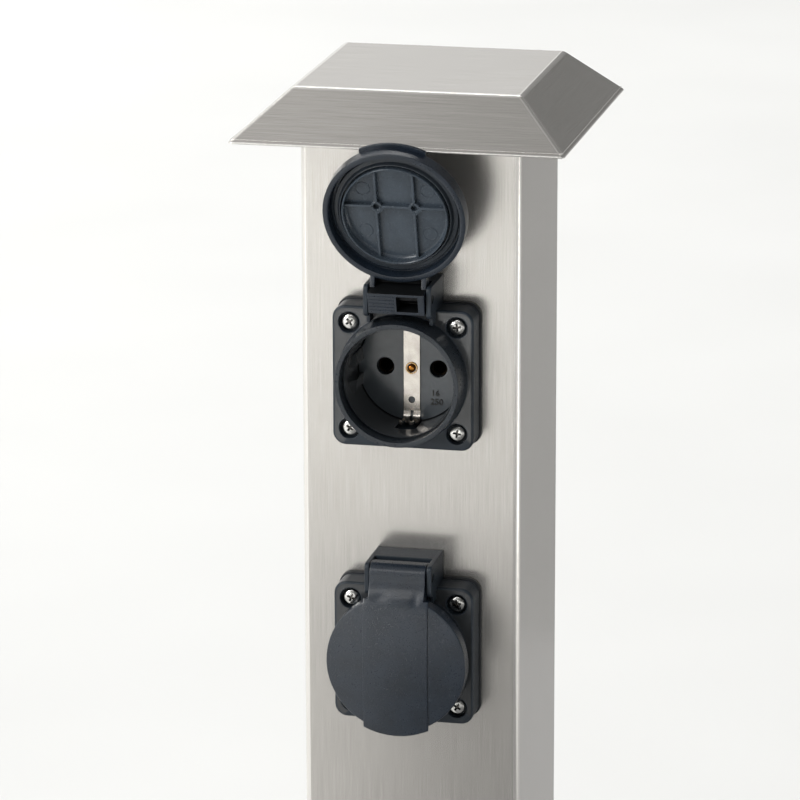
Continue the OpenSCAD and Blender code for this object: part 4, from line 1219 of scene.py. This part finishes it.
@dataclass
class Lid:
    """A socket's hinged lid with its seal, drawn closed."""

    level: str
    height: float
    opened: float
    builder: Builder
    sizes: SocketSizes = SocketSizes()
    floor: float = 24.0
    front: float = 26.25
    band_front: float = 26.6
    radius: float = 24.9
    edge: float = 0.45
    skirt_inner: float = 22.9
    skirt_low: float = 19.25
    thumb: float = 26.4
    tab_thick: float = 2.3
    tab_root: float = -20.5
    band_half: float = 11.6
    arm_half: float = 9.9
    slope_low: float = 22.0
    slope_top: float = 29.0
    arm_front: float = 22.15
    arm_top: float = 35.15
    shoulder: float = 30.95
    shoulder_round: float = 4.25
    plate: float = 2.2
    cheek_end: float = 23.4
    rib: float = 6.6
    rib_half: float = 0.45
    rib_drop: float = 2.7
    rib_low: float = 1.8
    dome: float = 1.45
    ring: float = 18.6
    ring_thick: float = 0.75
    ring_low: float = 3.6
    boss: float = 1.95
    boss_bore: float = 1.1
    gusset_half: float = 1.9
    gusset_off: float = 1.45
    seal_inner: float = 19.05
    seal_outer: float = 21.9
    seal_drop: float = 1.18
    seal_lip: float = 2.5
    # Where the seal's slope ends and its level part begins and ends
    seal_steps: Sequence[float] = (20.0, 20.3, 21.3)
    knuckle_drop: float = 3.9
    knuckle_rise: float = 4.1
    knuckle_back: float = 4.6
    knuckle_front: float = 3.65
    knuckle_chamfer: float = 3.4
    window: Point = (0.1, 7.7)
    window_half: float = 2.95
    ridges: int = 5
    ridge_pitch: float = 1.35
    dent_up: float = 23.8
    dent_depth: float = 0.28
    # Each dent's place across, and how wide and high it is
    dent_sizes: Sequence[Place] = ((-5.8, 2.6, 1.2), (6.9, 1.3, 1.9))
    # Marks that ejector pins left inside the lid: their middles, and how large each is
    marks: Sequence[Point] = ((-11.3, -8.6), (11.3, -8.9), (-11.2, 7.6), (11.2, 7.9))
    mark_radius: float = 2.6

    # Places of the shell's materials after its own
    INSIDE, HOLLOW = 1, 2

    def build(self) -> None:
        """Builds the lid and its seal."""
        shape = self.shell().add(self.band(), *self.webs(), self.knuckle(), *self.inside())
        # The inner disc, its ring and ribs take the lighter plastic: painted light.
        shape.painted(self.INSIDE, Within(high=self.floor + 0.02, reach=self.ring + 0.05).takes)
        body = f"{self.level}_lid_body"
        place = self.sizes.place(self.height, self.opened)
        finishes = [LID_PLASTIC, LID_INSIDE, ARM_INSIDE]
        self.builder.piece(f"{self.level}_lid_shell", shape, body, "dark_plastic", finishes, place,
                           [f"{self.level}_lid"], 35)
        self.builder.piece(f"{self.level}_seal_ring", self.seal(), body, "black_rubber", [SEAL_RUBBER],
                           place, [f"{self.level}_lid_seal"], 50)

    def shell(self) -> Shape:
        """The disc and its skirt, with a crisp outer edge, and room for the band.

        Returns:
            The shell.
        """
        inner, low, outer, edge = self.skirt_inner, self.skirt_low, self.radius, self.edge
        profile = [(0, self.floor), (inner - 0.4, self.floor), (inner, self.floor - 0.4),
                   (inner, low + 0.35), (inner + 0.12, low + 0.1), (inner + 0.4, low), (outer - 0.4, low),
                   (outer - 0.1, low + 0.12), (outer, low + 0.4)]
        profile += bow((outer - edge, self.front - edge), edge, 0, 85, 4)
        profile += [(r, self.front) for r in (23, 21, 18, 15, 12, 8, 4, 0)]
        half = self.band_half - 0.2
        room = Shape.block((-half, 20.0, self.floor + 0.2), (half, 30.0, self.front + 2))
        return Shape.lathe(profile, 144).pushed(self.sink).cut_by(room)

    def bulge(self, co: Vector) -> float:
        """How far the dome lies below its middle at a place, in millimetres."""
        return self.dome * (co.x ** 2 + min(co.y, self.slope_low) ** 2) / self.radius ** 2

    def sink(self, co: Vector) -> Vector:
        """Makes the outer face a shallow dome by sinking it towards its edge.

        Args:
            co: a place on the lid.

        Returns:
            How far it moves.
        """
        if co.z < self.front - 0.6:
            return Vector((0, 0, 0))
        return Vector((0, 0, -self.bulge(co)))

    def band(self) -> Shape:
        """The raised band down the middle and the arm above it, as one plate whose face slopes
        up to the hinge, with two shallow dents, and the thumb tab below.

        Returns:
            The band, arm and tab.
        """
        half, arm = self.band_half, self.arm_half
        low = -math.sqrt(self.thumb ** 2 - half ** 2)
        start = math.degrees(math.atan2(low, -half))
        end = math.degrees(math.atan2(low, half))
        tip = bow((0, 0), self.thumb, start, end, 20)
        step = [(arm, self.cheek_end), (arm, self.arm_top), (-arm, self.arm_top), (-arm, self.cheek_end)]
        outline = [(half, self.cheek_end)] + step + [(-half, self.cheek_end)] + tip
        plate = Shape.slab(outline, self.band_front - self.plate, self.band_front)
        plate.eased(0.16, 2, 60, Within(low=self.band_front - 0.01))
        plate.sliced("Y", -26, 16, 14).sliced("Y", 16, self.arm_top, 38).sliced("X", -half, half, 36)
        plate.pushed(self.dents).pushed(self.lean).pushed(self.sink_arm)
        front = self.band_front - 0.3
        root = [(half, self.tab_root), (-half, self.tab_root)]
        tab = Shape.slab(root + tip, front - self.tab_thick, front)
        tab.eased(0.3, 2, 60, Within(high=front - self.tab_thick + 0.1))
        tab.sliced("X", -half, half, 10).pushed(self.sink)
        # Faces that look back at the post take the near-black plastic: painted shade.
        return plate.painted(self.HOLLOW, self.looks_back).add(tab)

    def looks_back(self, face: bmesh.types.BMFace) -> bool:
        """Whether a face looks back at the post."""
        return face.normal.z < -0.3

    def slope(self, y: float) -> float:
        """How far out the arm's face lies at a height.

        Args:
            y: the height above the lid's middle.

        Returns:
            The distance out of the post, before the dome.
        """
        start, end = self.slope_low - 1.2, self.slope_top + 1.2
        t = max(0.0, min(1.0, (y - start) / (end - start)))
        eased = t ** 3 * (6 * t * t - 15 * t + 10)
        above = max(0.0, y - self.shoulder)
        back = self.shoulder_round - math.sqrt(self.shoulder_round ** 2 - above ** 2)
        return self.band_front - (self.band_front - self.arm_front) * eased - back

    def lean(self, co: Vector) -> Vector:
        """Lets the plate follow the slope, its back a wall's thickness behind its face.

        Args:
            co: a place on the plate.

        Returns:
            How far it moves.
        """
        if co.z > self.band_front - 1.5:
            return Vector((0, 0, self.slope(co.y) - self.band_front))
        return Vector((0, 0, min(0.0, self.slope(co.y) - 2.0 - co.z)))

    def sink_arm(self, co: Vector) -> Vector:
        """Joins the arm's foot to the dome; its back stays where it is.

        Args:
            co: a place on the plate.

        Returns:
            How far it moves.
        """
        out = self.slope(co.y)
        if co.z < out - 1.2:
            return Vector((0, 0, 0))
        fade = max(0.0, min(1.0, (out - self.arm_front) / (self.front - self.arm_front)))
        return Vector((0, 0, -fade * self.bulge(co)))

    def dents(self, co: Vector) -> Vector:
        """Sinks soft dents where the slope begins.

        Args:
            co: a place on the plate.

        Returns:
            How far it moves.
        """
        if co.z < self.band_front - 0.5:
            return Vector((0, 0, 0))
        depth = 0.0
        for x, wide, high in self.dent_sizes:
            away = ((co.x - x) / wide) ** 2 + ((co.y - self.dent_up) / high) ** 2
            depth += self.dent_depth * math.exp(-away)
        return Vector((0, 0, -depth))

    def webs(self) -> list[Shape]:
        """The side webs between the knuckle and the skirt.

        Returns:
            The left and the right web.
        """
        s = self.sizes
        low, root = s.hinge_up - 3.8, self.skirt_inner - 0.4
        outline = [(s.hinge_out - 0.4, low), (self.arm_front - 0.1, low), (self.arm_front + 1.0, root),
                   (self.skirt_low + 0.4, root)]
        return [Shape.slab(outline, left, left + s.cheek).sideways().eased(0.2, 2)
                for left in (-self.arm_half, self.arm_half - s.cheek)]

    def knuckle(self) -> Shape:
        """The knuckle around the pin, ridged, with a window to the right of its middle.

        Returns:
            The knuckle.
        """
        s = self.sizes
        half = self.arm_half
        low, high = s.hinge_up - self.knuckle_drop, s.hinge_up + self.knuckle_rise
        back, front = s.hinge_out - self.knuckle_back, s.hinge_out + self.knuckle_front
        body = Shape.block((-half, low, back), (half, high, front))
        body.eased(self.knuckle_chamfer, 1, 60, Within(low=front - 0.05, above=high - 0.01)).eased(0.25, 2)
        left, right = self.window
        window = Shape.block((left, s.hinge_up - self.window_half, s.hinge_out - 6),
                             (right, s.hinge_up + self.window_half, s.hinge_out + 2.15))
        body.cut_by(window.eased(0.15, 2))
        for i in range(self.ridges):
            y = low + 1.1 + self.ridge_pitch * i
            ridge = Shape.block((-half + 0.6, y, back - 0.2), (-0.7, y + 0.6, back + 0.2))
            body.add(ridge.eased(0.09, 2))
        body.bm.normal_update()
        # The knuckle's low side and its window take the near-black plastic: painted shade.
        return body.painted(self.HOLLOW, self.under_knuckle).painted(self.HOLLOW, self.in_window)

    def under_knuckle(self, face: bmesh.types.BMFace) -> bool:
        """Whether a face is on the knuckle's low side."""
        low = self.sizes.hinge_up - self.knuckle_drop
        return face.normal.y < -0.5 and face.calc_center_median().y < low + 0.1

    def in_window(self, face: bmesh.types.BMFace) -> bool:
        """Whether a face lies inside the knuckle's window.

        Args:
            face: a face of the knuckle.

        Returns:
            Whether it does.
        """
        s = self.sizes
        middle = face.calc_center_median()
        across = self.window[0] - 0.1 < middle.x < self.window[1] + 0.05
        along = abs(middle.y - s.hinge_up) < self.window_half + 0.05
        return across and along and middle.z > s.hinge_out - 4.3

    def inside(self) -> list[Shape]:
        """The ring, ribs, bosses and ejector marks inside the lid.

        Returns:
            Its parts.
        """
        floor, root = self.floor, self.floor + 0.1
        low, top = floor - self.ring_low, floor - self.rib_low
        outer, inner = self.ring, self.ring - self.ring_thick
        ring = [(inner, root), (inner + 0.05, low + 0.25), (inner + 0.25, low), (outer - 0.25, low),
                (outer - 0.05, low + 0.25), (outer, root)]
        fillet = [(inner - 0.8, root), (inner - 0.8, floor - 0.02), (inner - 0.3, floor - 0.12),
                  (inner + 0.1, floor - 0.6), (inner + 0.1, root)]
        parts = [Shape.lathe(ring, 120, closed=True), Shape.lathe(fillet, 120, closed=True)]
        drop, half = -self.rib_drop, self.rib_half
        holes = [(x, drop) for x in (-self.rib, self.rib)]
        for x, _ in holes:
            reach = math.sqrt((inner + 0.2) ** 2 - self.rib ** 2)
            parts.append(self.rib_bar((x - half, -reach, top), (x + half, reach, root), holes))
            reach, off = self.gusset_half, self.gusset_off
            gusset = Shape.block((-reach, -0.4, top + 0.15), (reach, 0.4, root)).eased(0.15)
            gusset.turned(-45).moved(x + off, drop + off)
            parts.append(gusset.cut_by(self.boss_hole(x, drop)))
            bore, wall = self.boss_bore, self.boss
            boss = [(bore, root), (bore, top + 0.1), (bore + 0.1, top), (wall - 0.15, top),
                    (wall, top + 0.15), (wall, root)]
            parts.append(Shape.lathe(boss, 40).moved(x, drop))
            parts.append(Shape.lathe([(0, root), (bore + 0.05, root), (bore + 0.05, floor - 0.05),
                                      (0, floor - 0.05)], 24).moved(x, drop))
        reach = math.sqrt((inner + 0.2) ** 2 - self.rib_drop ** 2)
        parts.append(self.rib_bar((-reach, drop - half, top), (reach, drop + half, root), holes))
        wide = self.mark_radius
        mark = [(wide - 0.35, root), (wide - 0.35, floor - 0.06), (wide - 0.25, floor - 0.14),
                (wide - 0.1, floor - 0.14), (wide, floor - 0.06), (wide, root)]
        parts += [Shape.lathe(mark, 40).moved(x, y) for x, y in self.marks]
        return parts

    def boss_hole(self, x: float, y: float) -> Shape:
        """A tool for the hole in one boss."""
        return Shape.rod(self.boss_bore + 0.02, 15, self.floor - 0.02, 32).moved(x, y)

    def rib_bar(self, low: Sequence[float], high: Sequence[float], holes: Sequence[Point]) -> Shape:
        """A rib with a rounded crest, open where it crosses the bosses' holes.

        Args:
            low: its low corner.
            high: its high corner.
            holes: the middles of the holes.

        Returns:
            The rib.
        """
        bar = Shape.block(low, high).eased(0.22, 3, 60, Within(high=low[2] + 0.01))
        crossed = [hole for hole in holes if low[0] < hole[0] < high[0] and low[1] < hole[1] < high[1]]
        return bar.cut_by(*[self.boss_hole(*hole) for hole in crossed])

    def seal(self) -> Shape:
        """The seal in its groove: a ring that rises towards the skirt, with a groove outside it.

        Returns:
            The seal.
        """
        floor = self.floor
        low, lip = floor - self.seal_drop, floor - self.seal_lip
        inner, outer = self.seal_inner, self.seal_outer
        slope, near, far = self.seal_steps
        profile = [(inner, floor), (inner, lip + 0.25), (inner + 0.15, lip + 0.03), (inner + 0.35, lip),
                   (inner + 0.55, lip + 0.1), (slope, low - 0.45), (slope + 0.12, low - 0.12), (near, low),
                   (far, low), (outer - 0.3, low + 0.08), (outer - 0.1, low + 0.3), (outer, floor - 0.1),
                   (outer, floor)]
        return Shape.lathe(profile, 120, closed=True)


@dataclass
class Roof:
    """The folded roof: flat top, four slopes and a strip folded in along the lower edge."""

    builder: Builder
    low: float = 118.0
    top: float = 80.0
    z_low: float = 382.8
    z_top: float = 400.0
    hem: float = 6.0
    fold: float = 1.1
    sheet: float = 1.5
    steep: float = 0.35
    screw_x: float = 20.0
    screw_z: float = 376.5
    screw_turns: Point = (20, 65)
    screw: PanScrew = PanScrew(3.8, 2.4, 2.2, 0.95)
    shank: float = 2.0
    shank_end: float = -7.5
    post_back: float = 35.0

    # Places of the roof's materials after its own
    SIDE, FOLD = 1, 2

    def build(self) -> None:
        """Builds the roof and its two screws at the back."""
        cap = Shape()
        bmesh.ops.create_grid(cap.bm, x_segments=1, y_segments=1, size=self.top / 2)
        cap.moved(z=self.z_top)
        for width in (self.low, self.low - 2 * self.hem):
            rim = [e for e in cap.bm.edges if e.is_boundary]
            grown = bmesh.ops.extrude_edge_only(cap.bm, edges=rim)
            for vert in [v for v in grown["geom"] if isinstance(v, bmesh.types.BMVert)]:
                x, y = math.copysign(width / 2, vert.co.x), math.copysign(width / 2, vert.co.y)
                vert.co = Vector((x, y, self.z_low))
        cap.outward().eased(self.fold, 4, 20, Within(low=self.z_low - 1))
        # The rounded folds take the paler steel: a painted highlight.
        cap.painted(self.SIDE, self.is_side).painted(self.FOLD, self.is_fold)
        finishes = [ROOF_STEEL, SIDE_STEEL, FOLD_STEEL]
        thing = self.builder.piece("roof_folded", cap, "post_body", "brushed_steel", finishes,
                                   nodes=["roof_cap"], crease=80)
        wall = thing.modifiers.new("sheet", "SOLIDIFY")
        wall.thickness = self.sheet * MM
        wall.offset = -1
        thing.modifiers.move(1, 0)
        self.screws()

    def is_side(self, face: bmesh.types.BMFace) -> bool:
        """Whether a face belongs to the left or right slope."""
        return abs(face.normal.x) > self.steep and abs(face.normal.x) > abs(face.normal.y)

    def is_fold(self, face: bmesh.types.BMFace) -> bool:
        """Whether a face is part of a rounded fold."""
        return min(edge.calc_length() for edge in face.edges) < self.fold

    def screws(self) -> None:
        """The two screws that hold the roof's spigot, on the back of the post."""
        shape = Shape()
        for x, turn in zip((-self.screw_x, self.screw_x), self.screw_turns):
            head = self.screw.head(turn).add(Shape.rod(self.shank, self.shank_end, 0, 24))
            shape.add(head.turned(-90, "X").moved(x, self.post_back, self.screw_z))
        self.builder.piece("roof_screws_cross", shape, "post_body", "zinc_screw", [ZINC, RECESS_DARK],
                           nodes=["roof_screws"])


@dataclass
class Post:
    """The square tube, with a painted highlight along its rounded corners."""

    builder: Builder
    off_face: float = 0.15

    def build(self) -> None:
        """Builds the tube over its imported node."""
        # The rounded corner faces take the paler steel: a painted highlight.
        tube = Shape.copy_of("post_tube").painted(1, self.is_corner)
        self.builder.piece("post_tube_ground", tube, "post_body", "brushed_steel",
                           [POST_STEEL, CORNER_STEEL], nodes=["post_tube"])

    def is_corner(self, face: bmesh.types.BMFace) -> bool:
        """Whether a face belongs to one of the rounded corners."""
        face.normal_update()
        return abs(face.normal.x) > self.off_face and abs(face.normal.y) > self.off_face


@dataclass
class Foot:
    """The base plate, the weld around the tube's foot and the cable bush."""

    builder: Builder
    plate: float = 4.0
    width: float = 78.0
    depth: float = 70.0
    plate_round: float = 0.4
    bush_round: float = 0.5
    weld_out: float = 0.2
    weld_foot: float = 2.0
    weld_height: float = 1.9
    weld_corner: float = 2.6
    ripple_pitch: float = 2.4
    ripple_height: float = 0.12

    def build(self) -> None:
        """Builds the foot's pieces."""
        plate = Shape.copy_of("base_plate").eased(self.plate_round, 2, 50)
        self.builder.piece("base_plate_eased", plate, "post_body", "brushed_steel", [ROOF_STEEL],
                           nodes=["base_plate"])
        bush = Shape.copy_of("cable_bush").eased(self.bush_round, 3, 50)
        self.builder.piece("cable_bush_eased", bush, "post_body", "black_rubber", [RUBBER],
                           nodes=["cable_bush"])
        self.builder.piece("foot_weld", self.weld(), "post_body", "brushed_steel", [WELD_STEEL])

    def weld(self) -> Shape:
        """A fine welded bead around the tube, wider at its foot and rippled along its run.

        Returns:
            The bead.
        """
        outline = box_outline(self.width + 2 * self.weld_out, self.depth + 2 * self.weld_out)
        bead = Shape.slab(outline, self.plate - 0.3, self.plate + self.weld_height, self.weld_corner, 8)
        low = [v for v in bead.bm.verts if v.co.z < self.plate]
        extra = 2 * self.weld_foot
        bmesh.ops.scale(bead.bm, verts=low, vec=(1 + extra / self.width, 1 + extra / self.depth, 1))
        long = [e for e in bead.bm.edges if e.calc_length() > 20]
        bmesh.ops.subdivide_edges(bead.bm, edges=long, cuts=60, use_grid_fill=True)
        return bead.pushed(self.ripple)

    def ripple(self, co: Vector) -> Vector:
        """Lifts and sinks the bead's crest along its run.

        Args:
            co: a place on the bead.

        Returns:
            How far it moves.
        """
        if co.z <= self.plate:
            return Vector((0, 0, 0))
        return Vector((0, 0, self.ripple_height * math.sin((co.x + co.y) * math.tau / self.ripple_pitch)))


@dataclass(frozen=True)
class Lamp:
    """A soft rectangular light; places are in metres, the spread in degrees."""

    name: str
    place: Place
    aim: Place
    size: Point
    watts: float
    spread: float = 180.0
    mirrored: bool = True

    def build(self) -> None:
        """Sets the lamp up. The camera doesn't see it, and steel mirrors it only where mirrored is set."""
        data = bpy.data.lights.new(self.name, "AREA")
        data.shape = "RECTANGLE"
        data.spread = math.radians(self.spread)
        data.size, data.size_y = self.size
        data.energy = self.watts
        lamp = bpy.data.objects.new(self.name, data)
        away = Vector(self.place) - Vector(self.aim)
        turn = away.to_track_quat("Z", "Y").to_matrix().to_4x4()
        lamp.matrix_world = Matrix.Translation(self.place) @ turn
        lamp.visible_camera = False
        lamp.visible_glossy = self.mirrored
        bpy.context.scene.collection.objects.link(lamp)


@dataclass(frozen=True)
class Flag:
    """A cloth that only reflections show, from four corners in metres."""

    name: str
    finish: Finish
    corners: Sequence[Place]

    def build(self) -> None:
        """Hangs the cloth. The camera doesn't see it, and it casts no shadow."""
        cloth = Shape()
        cloth.bm.faces.new([cloth.bm.verts.new(corner) for corner in self.corners])
        mesh = cloth.as_mesh(self.name)
        mesh.materials.append(self.finish.material())
        flag = bpy.data.objects.new(self.name, mesh)
        bpy.context.scene.collection.objects.link(flag)
        flag.visible_camera = False
        flag.visible_diffuse = False
        flag.visible_shadow = False


@dataclass(frozen=True)
class Fade:
    """A change of the surrounding light along one direction: between two shares of it, from one
    strength to another."""

    axis: str
    start: float
    end: float
    first: float
    last: float


@dataclass
class Studio:
    """The floor, the lights and the camera."""

    span: float = 12.0
    eye: Place = (0.3351, -1.5438, 0.7186)
    yaw: float = 12.655
    pitch: float = 15.532
    roll: float = -0.181
    focal_px: float = 4600.0
    picture_px: float = 800.0
    sensor_mm: float = 36.0
    far: float = 100.0
    # A grey cloth at the rear right, upright and along the floor, a darker one above it, and a
    # darker one on the floor close to the post's front
    flags: Sequence[Flag] = (
        Flag("flag_grey", CLOTH, ((-0.15, 0.65, 0), (0.75, 0.4, 0), (0.75, 0.4, 0.43), (-0.15, 0.65, 0.43))),
        Flag("flag_grey_low", CLOTH,
             ((0.0, 0.05, 0.002), (0.5, -0.05, 0.002), (0.75, 0.4, 0.002), (-0.15, 0.65, 0.002))),
        Flag("flag_dark_high", DARK_CLOTH,
             ((-0.02, 0.61, 0.44), (0.75, 0.4, 0.44), (0.75, 0.4, 1.0), (-0.02, 0.61, 1.0))),
        Flag("flag_dark_low", DARK_CLOTH,
             ((-0.03, -0.06, 0.003), (-0.17, -0.72, 0.003), (0.6, -1.1, 0.003), (0.4, -0.06, 0.003))),
    )
    # A large key from the front left and softer lights around it
    lamps: Sequence[Lamp] = (
        Lamp("key", (-2.0, -2.0, 2.4), (0, 0, 0.25), (1.2, 1.4), 52),
        Lamp("rear_left", (-2.6, 2.4, 2.8), (-0.5, 1.2, 0), (2.0, 2.0), 130, mirrored=False),
        Lamp("rear_right", (2.8, 2.6, 2.8), (0.5, 1.2, 0), (2.0, 2.0), 45, mirrored=False),
        Lamp("front_pool", (-0.6, -2.3, 2.4), (-0.45, -1.9, 0), (0.8, 0.5), 7, spread=50),
        Lamp("left_card", (-0.95, -1.45, 0.55), (0, 0, 0.25), (0.6, 0.6), 8),
        Lamp("right_fill", (1.8, -1.6, 1.2), (0, 0, 0.25), (1.2, 1.2), 6, mirrored=False),
        Lamp("edge_strip", (-0.25, -1.4, 1.5), (0, 0, 0.25), (1.2, 0.2), 2.5),
        Lamp("roof_card", (-0.5, -0.15, 1.35), (-0.5, -0.15, 0), (0.6, 0.4), 0.22),
        Lamp("corner_strip", (0.82, -0.22, 0.06), (0.04, -0.035, 0.28), (0.1, 0.25), 0.5),
        Lamp("fold_strip", (-0.45, 1.15, 2.0), (0, 0, 0.4), (1.6, 0.16), 5),
    )
    glow: str = "#f6f6f5"
    # Bright on the left, darker on the right, straight above and from the front
    fades: Sequence[Fade] = (Fade("X", -0.25, 0.3, 0.95, 0.26), Fade("Z", 0.45, 0.95, 1.0, 0.48),
                             Fade("Y", -0.7, 0.2, 0.5, 1.0))

    def build(self) -> None:
        """Sets up everything around the object."""
        self.camera()
        self.floor()
        for thing in (*self.flags, *self.lamps):
            thing.build()
        self.world()

    def camera(self) -> None:
        """The camera, where the photograph was taken from."""
        data = bpy.data.cameras.new("camera")
        data.sensor_width = self.sensor_mm
        data.lens = self.sensor_mm * self.focal_px / self.picture_px
        data.clip_end = self.far
        eye = bpy.data.objects.new("camera", data)
        turn = Matrix.Rotation(math.radians(self.yaw), 4, "Z")
        tilt = Matrix.Rotation(math.radians(90 - self.pitch), 4, "X")
        lean = Matrix.Rotation(math.radians(self.roll), 4, "Z")
        eye.matrix_world = Matrix.Translation(self.eye) @ turn @ tilt @ lean
        bpy.context.scene.collection.objects.link(eye)
        bpy.context.scene.camera = eye
        bpy.context.scene.view_settings.view_transform = "Standard"

    def floor(self) -> None:
        """A wide sheet of paper under everything."""
        sheet = Shape()
        bmesh.ops.create_grid(sheet.bm, x_segments=1, y_segments=1, size=self.span / 2)
        mesh = sheet.as_mesh("floor")
        mesh.materials.append(PAPER.material())
        floor = bpy.data.objects.new("floor", mesh)
        bpy.context.scene.collection.objects.link(floor)

    def world(self) -> None:
        """Soft light from all around, faded along three directions."""
        world = bpy.data.worlds.new("studio")
        world.use_nodes = True
        tree = world.node_tree
        tree.nodes.clear()
        place = add_node(tree, "ShaderNodeTexCoord")
        apart = add_node(tree, "ShaderNodeSeparateXYZ", links={"Vector": place.outputs["Generated"]})
        level = None
        for fade in self.fades:
            limits = {"From Min": fade.start, "From Max": fade.end, "To Min": fade.first,
                      "To Max": fade.last, "interpolation_type": "SMOOTHSTEP"}
            share = add_node(tree, "ShaderNodeMapRange", limits, {"Value": apart.outputs[fade.axis]})
            strength = share.outputs["Result"]
            if level is not None:
                both = add_node(tree, "ShaderNodeMath", {"operation": "MULTIPLY"}, {0: level, 1: strength})
                strength = both.outputs["Value"]
            level = strength
        glow = add_node(tree, "ShaderNodeBackground", {"Color": linear(self.glow)}, {"Strength": level})
        add_node(tree, "ShaderNodeOutputWorld", links={"Surface": glow.outputs["Background"]})
        bpy.context.scene.world = world


@dataclass
class PackedParts:
    """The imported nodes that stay, each with its finish."""

    builder: Builder

    def build(self) -> None:
        """Dresses the nodes that no piece replaces."""
        finishes = {
            "roof_spigot": POST_STEEL, "terminal_strip": GREY_PLASTIC, "terminal_bars": BRASS,
            "terminal_screws": ZINC, "strip_screws": ZINC, "earth_stud": POST_STEEL,
            "earth_washer": ZINC, "earth_lug": NICKEL, "earth_nut": ZINC, "bond_wire": GREEN_SLEEVE,
        }
        shared = {
            # The contacts in the pin holes take the near-black brass: painted shade.
            "earth_clamp": BRASS, "live_contact": TARNISHED, "neutral_contact": TARNISHED,
            "terminal_body": HOUSING_PLASTIC, "body_screws": ZINC, "clamp_screws": ZINC,
            "fixing_nuts": ZINC, "live_wire": BROWN_SLEEVE, "neutral_wire": BLUE_SLEEVE,
            "earth_wire": GREEN_SLEEVE,
        }
        for level in ("upper", "lower"):
            for name, finish in shared.items():
                finishes[f"{level}_{name}"] = finish
        for node, finish in finishes.items():
            self.builder.dress(node, finish)


def main() -> None:
    """Builds the studio and every sub-assembly in order."""
    logging.basicConfig(level=logging.INFO, format="%(name)s: %(message)s")
    Studio().build()
    builder = Builder()
    PackedParts(builder).build()
    Post(builder).build()
    Foot(builder).build()
    Roof(builder).build()
    Socket("upper", 300.0, (35, 10, 55, 80), builder).build()
    Lid("upper", 300.0, 163.564, builder).build()
    Socket("lower", 200.0, (70, 12, 40, 60), builder).build()
    Lid("lower", 200.0, 0.0, builder).build()
    log.info("%d pieces made", len(builder.made))


if __name__ == "__main__":
    main()
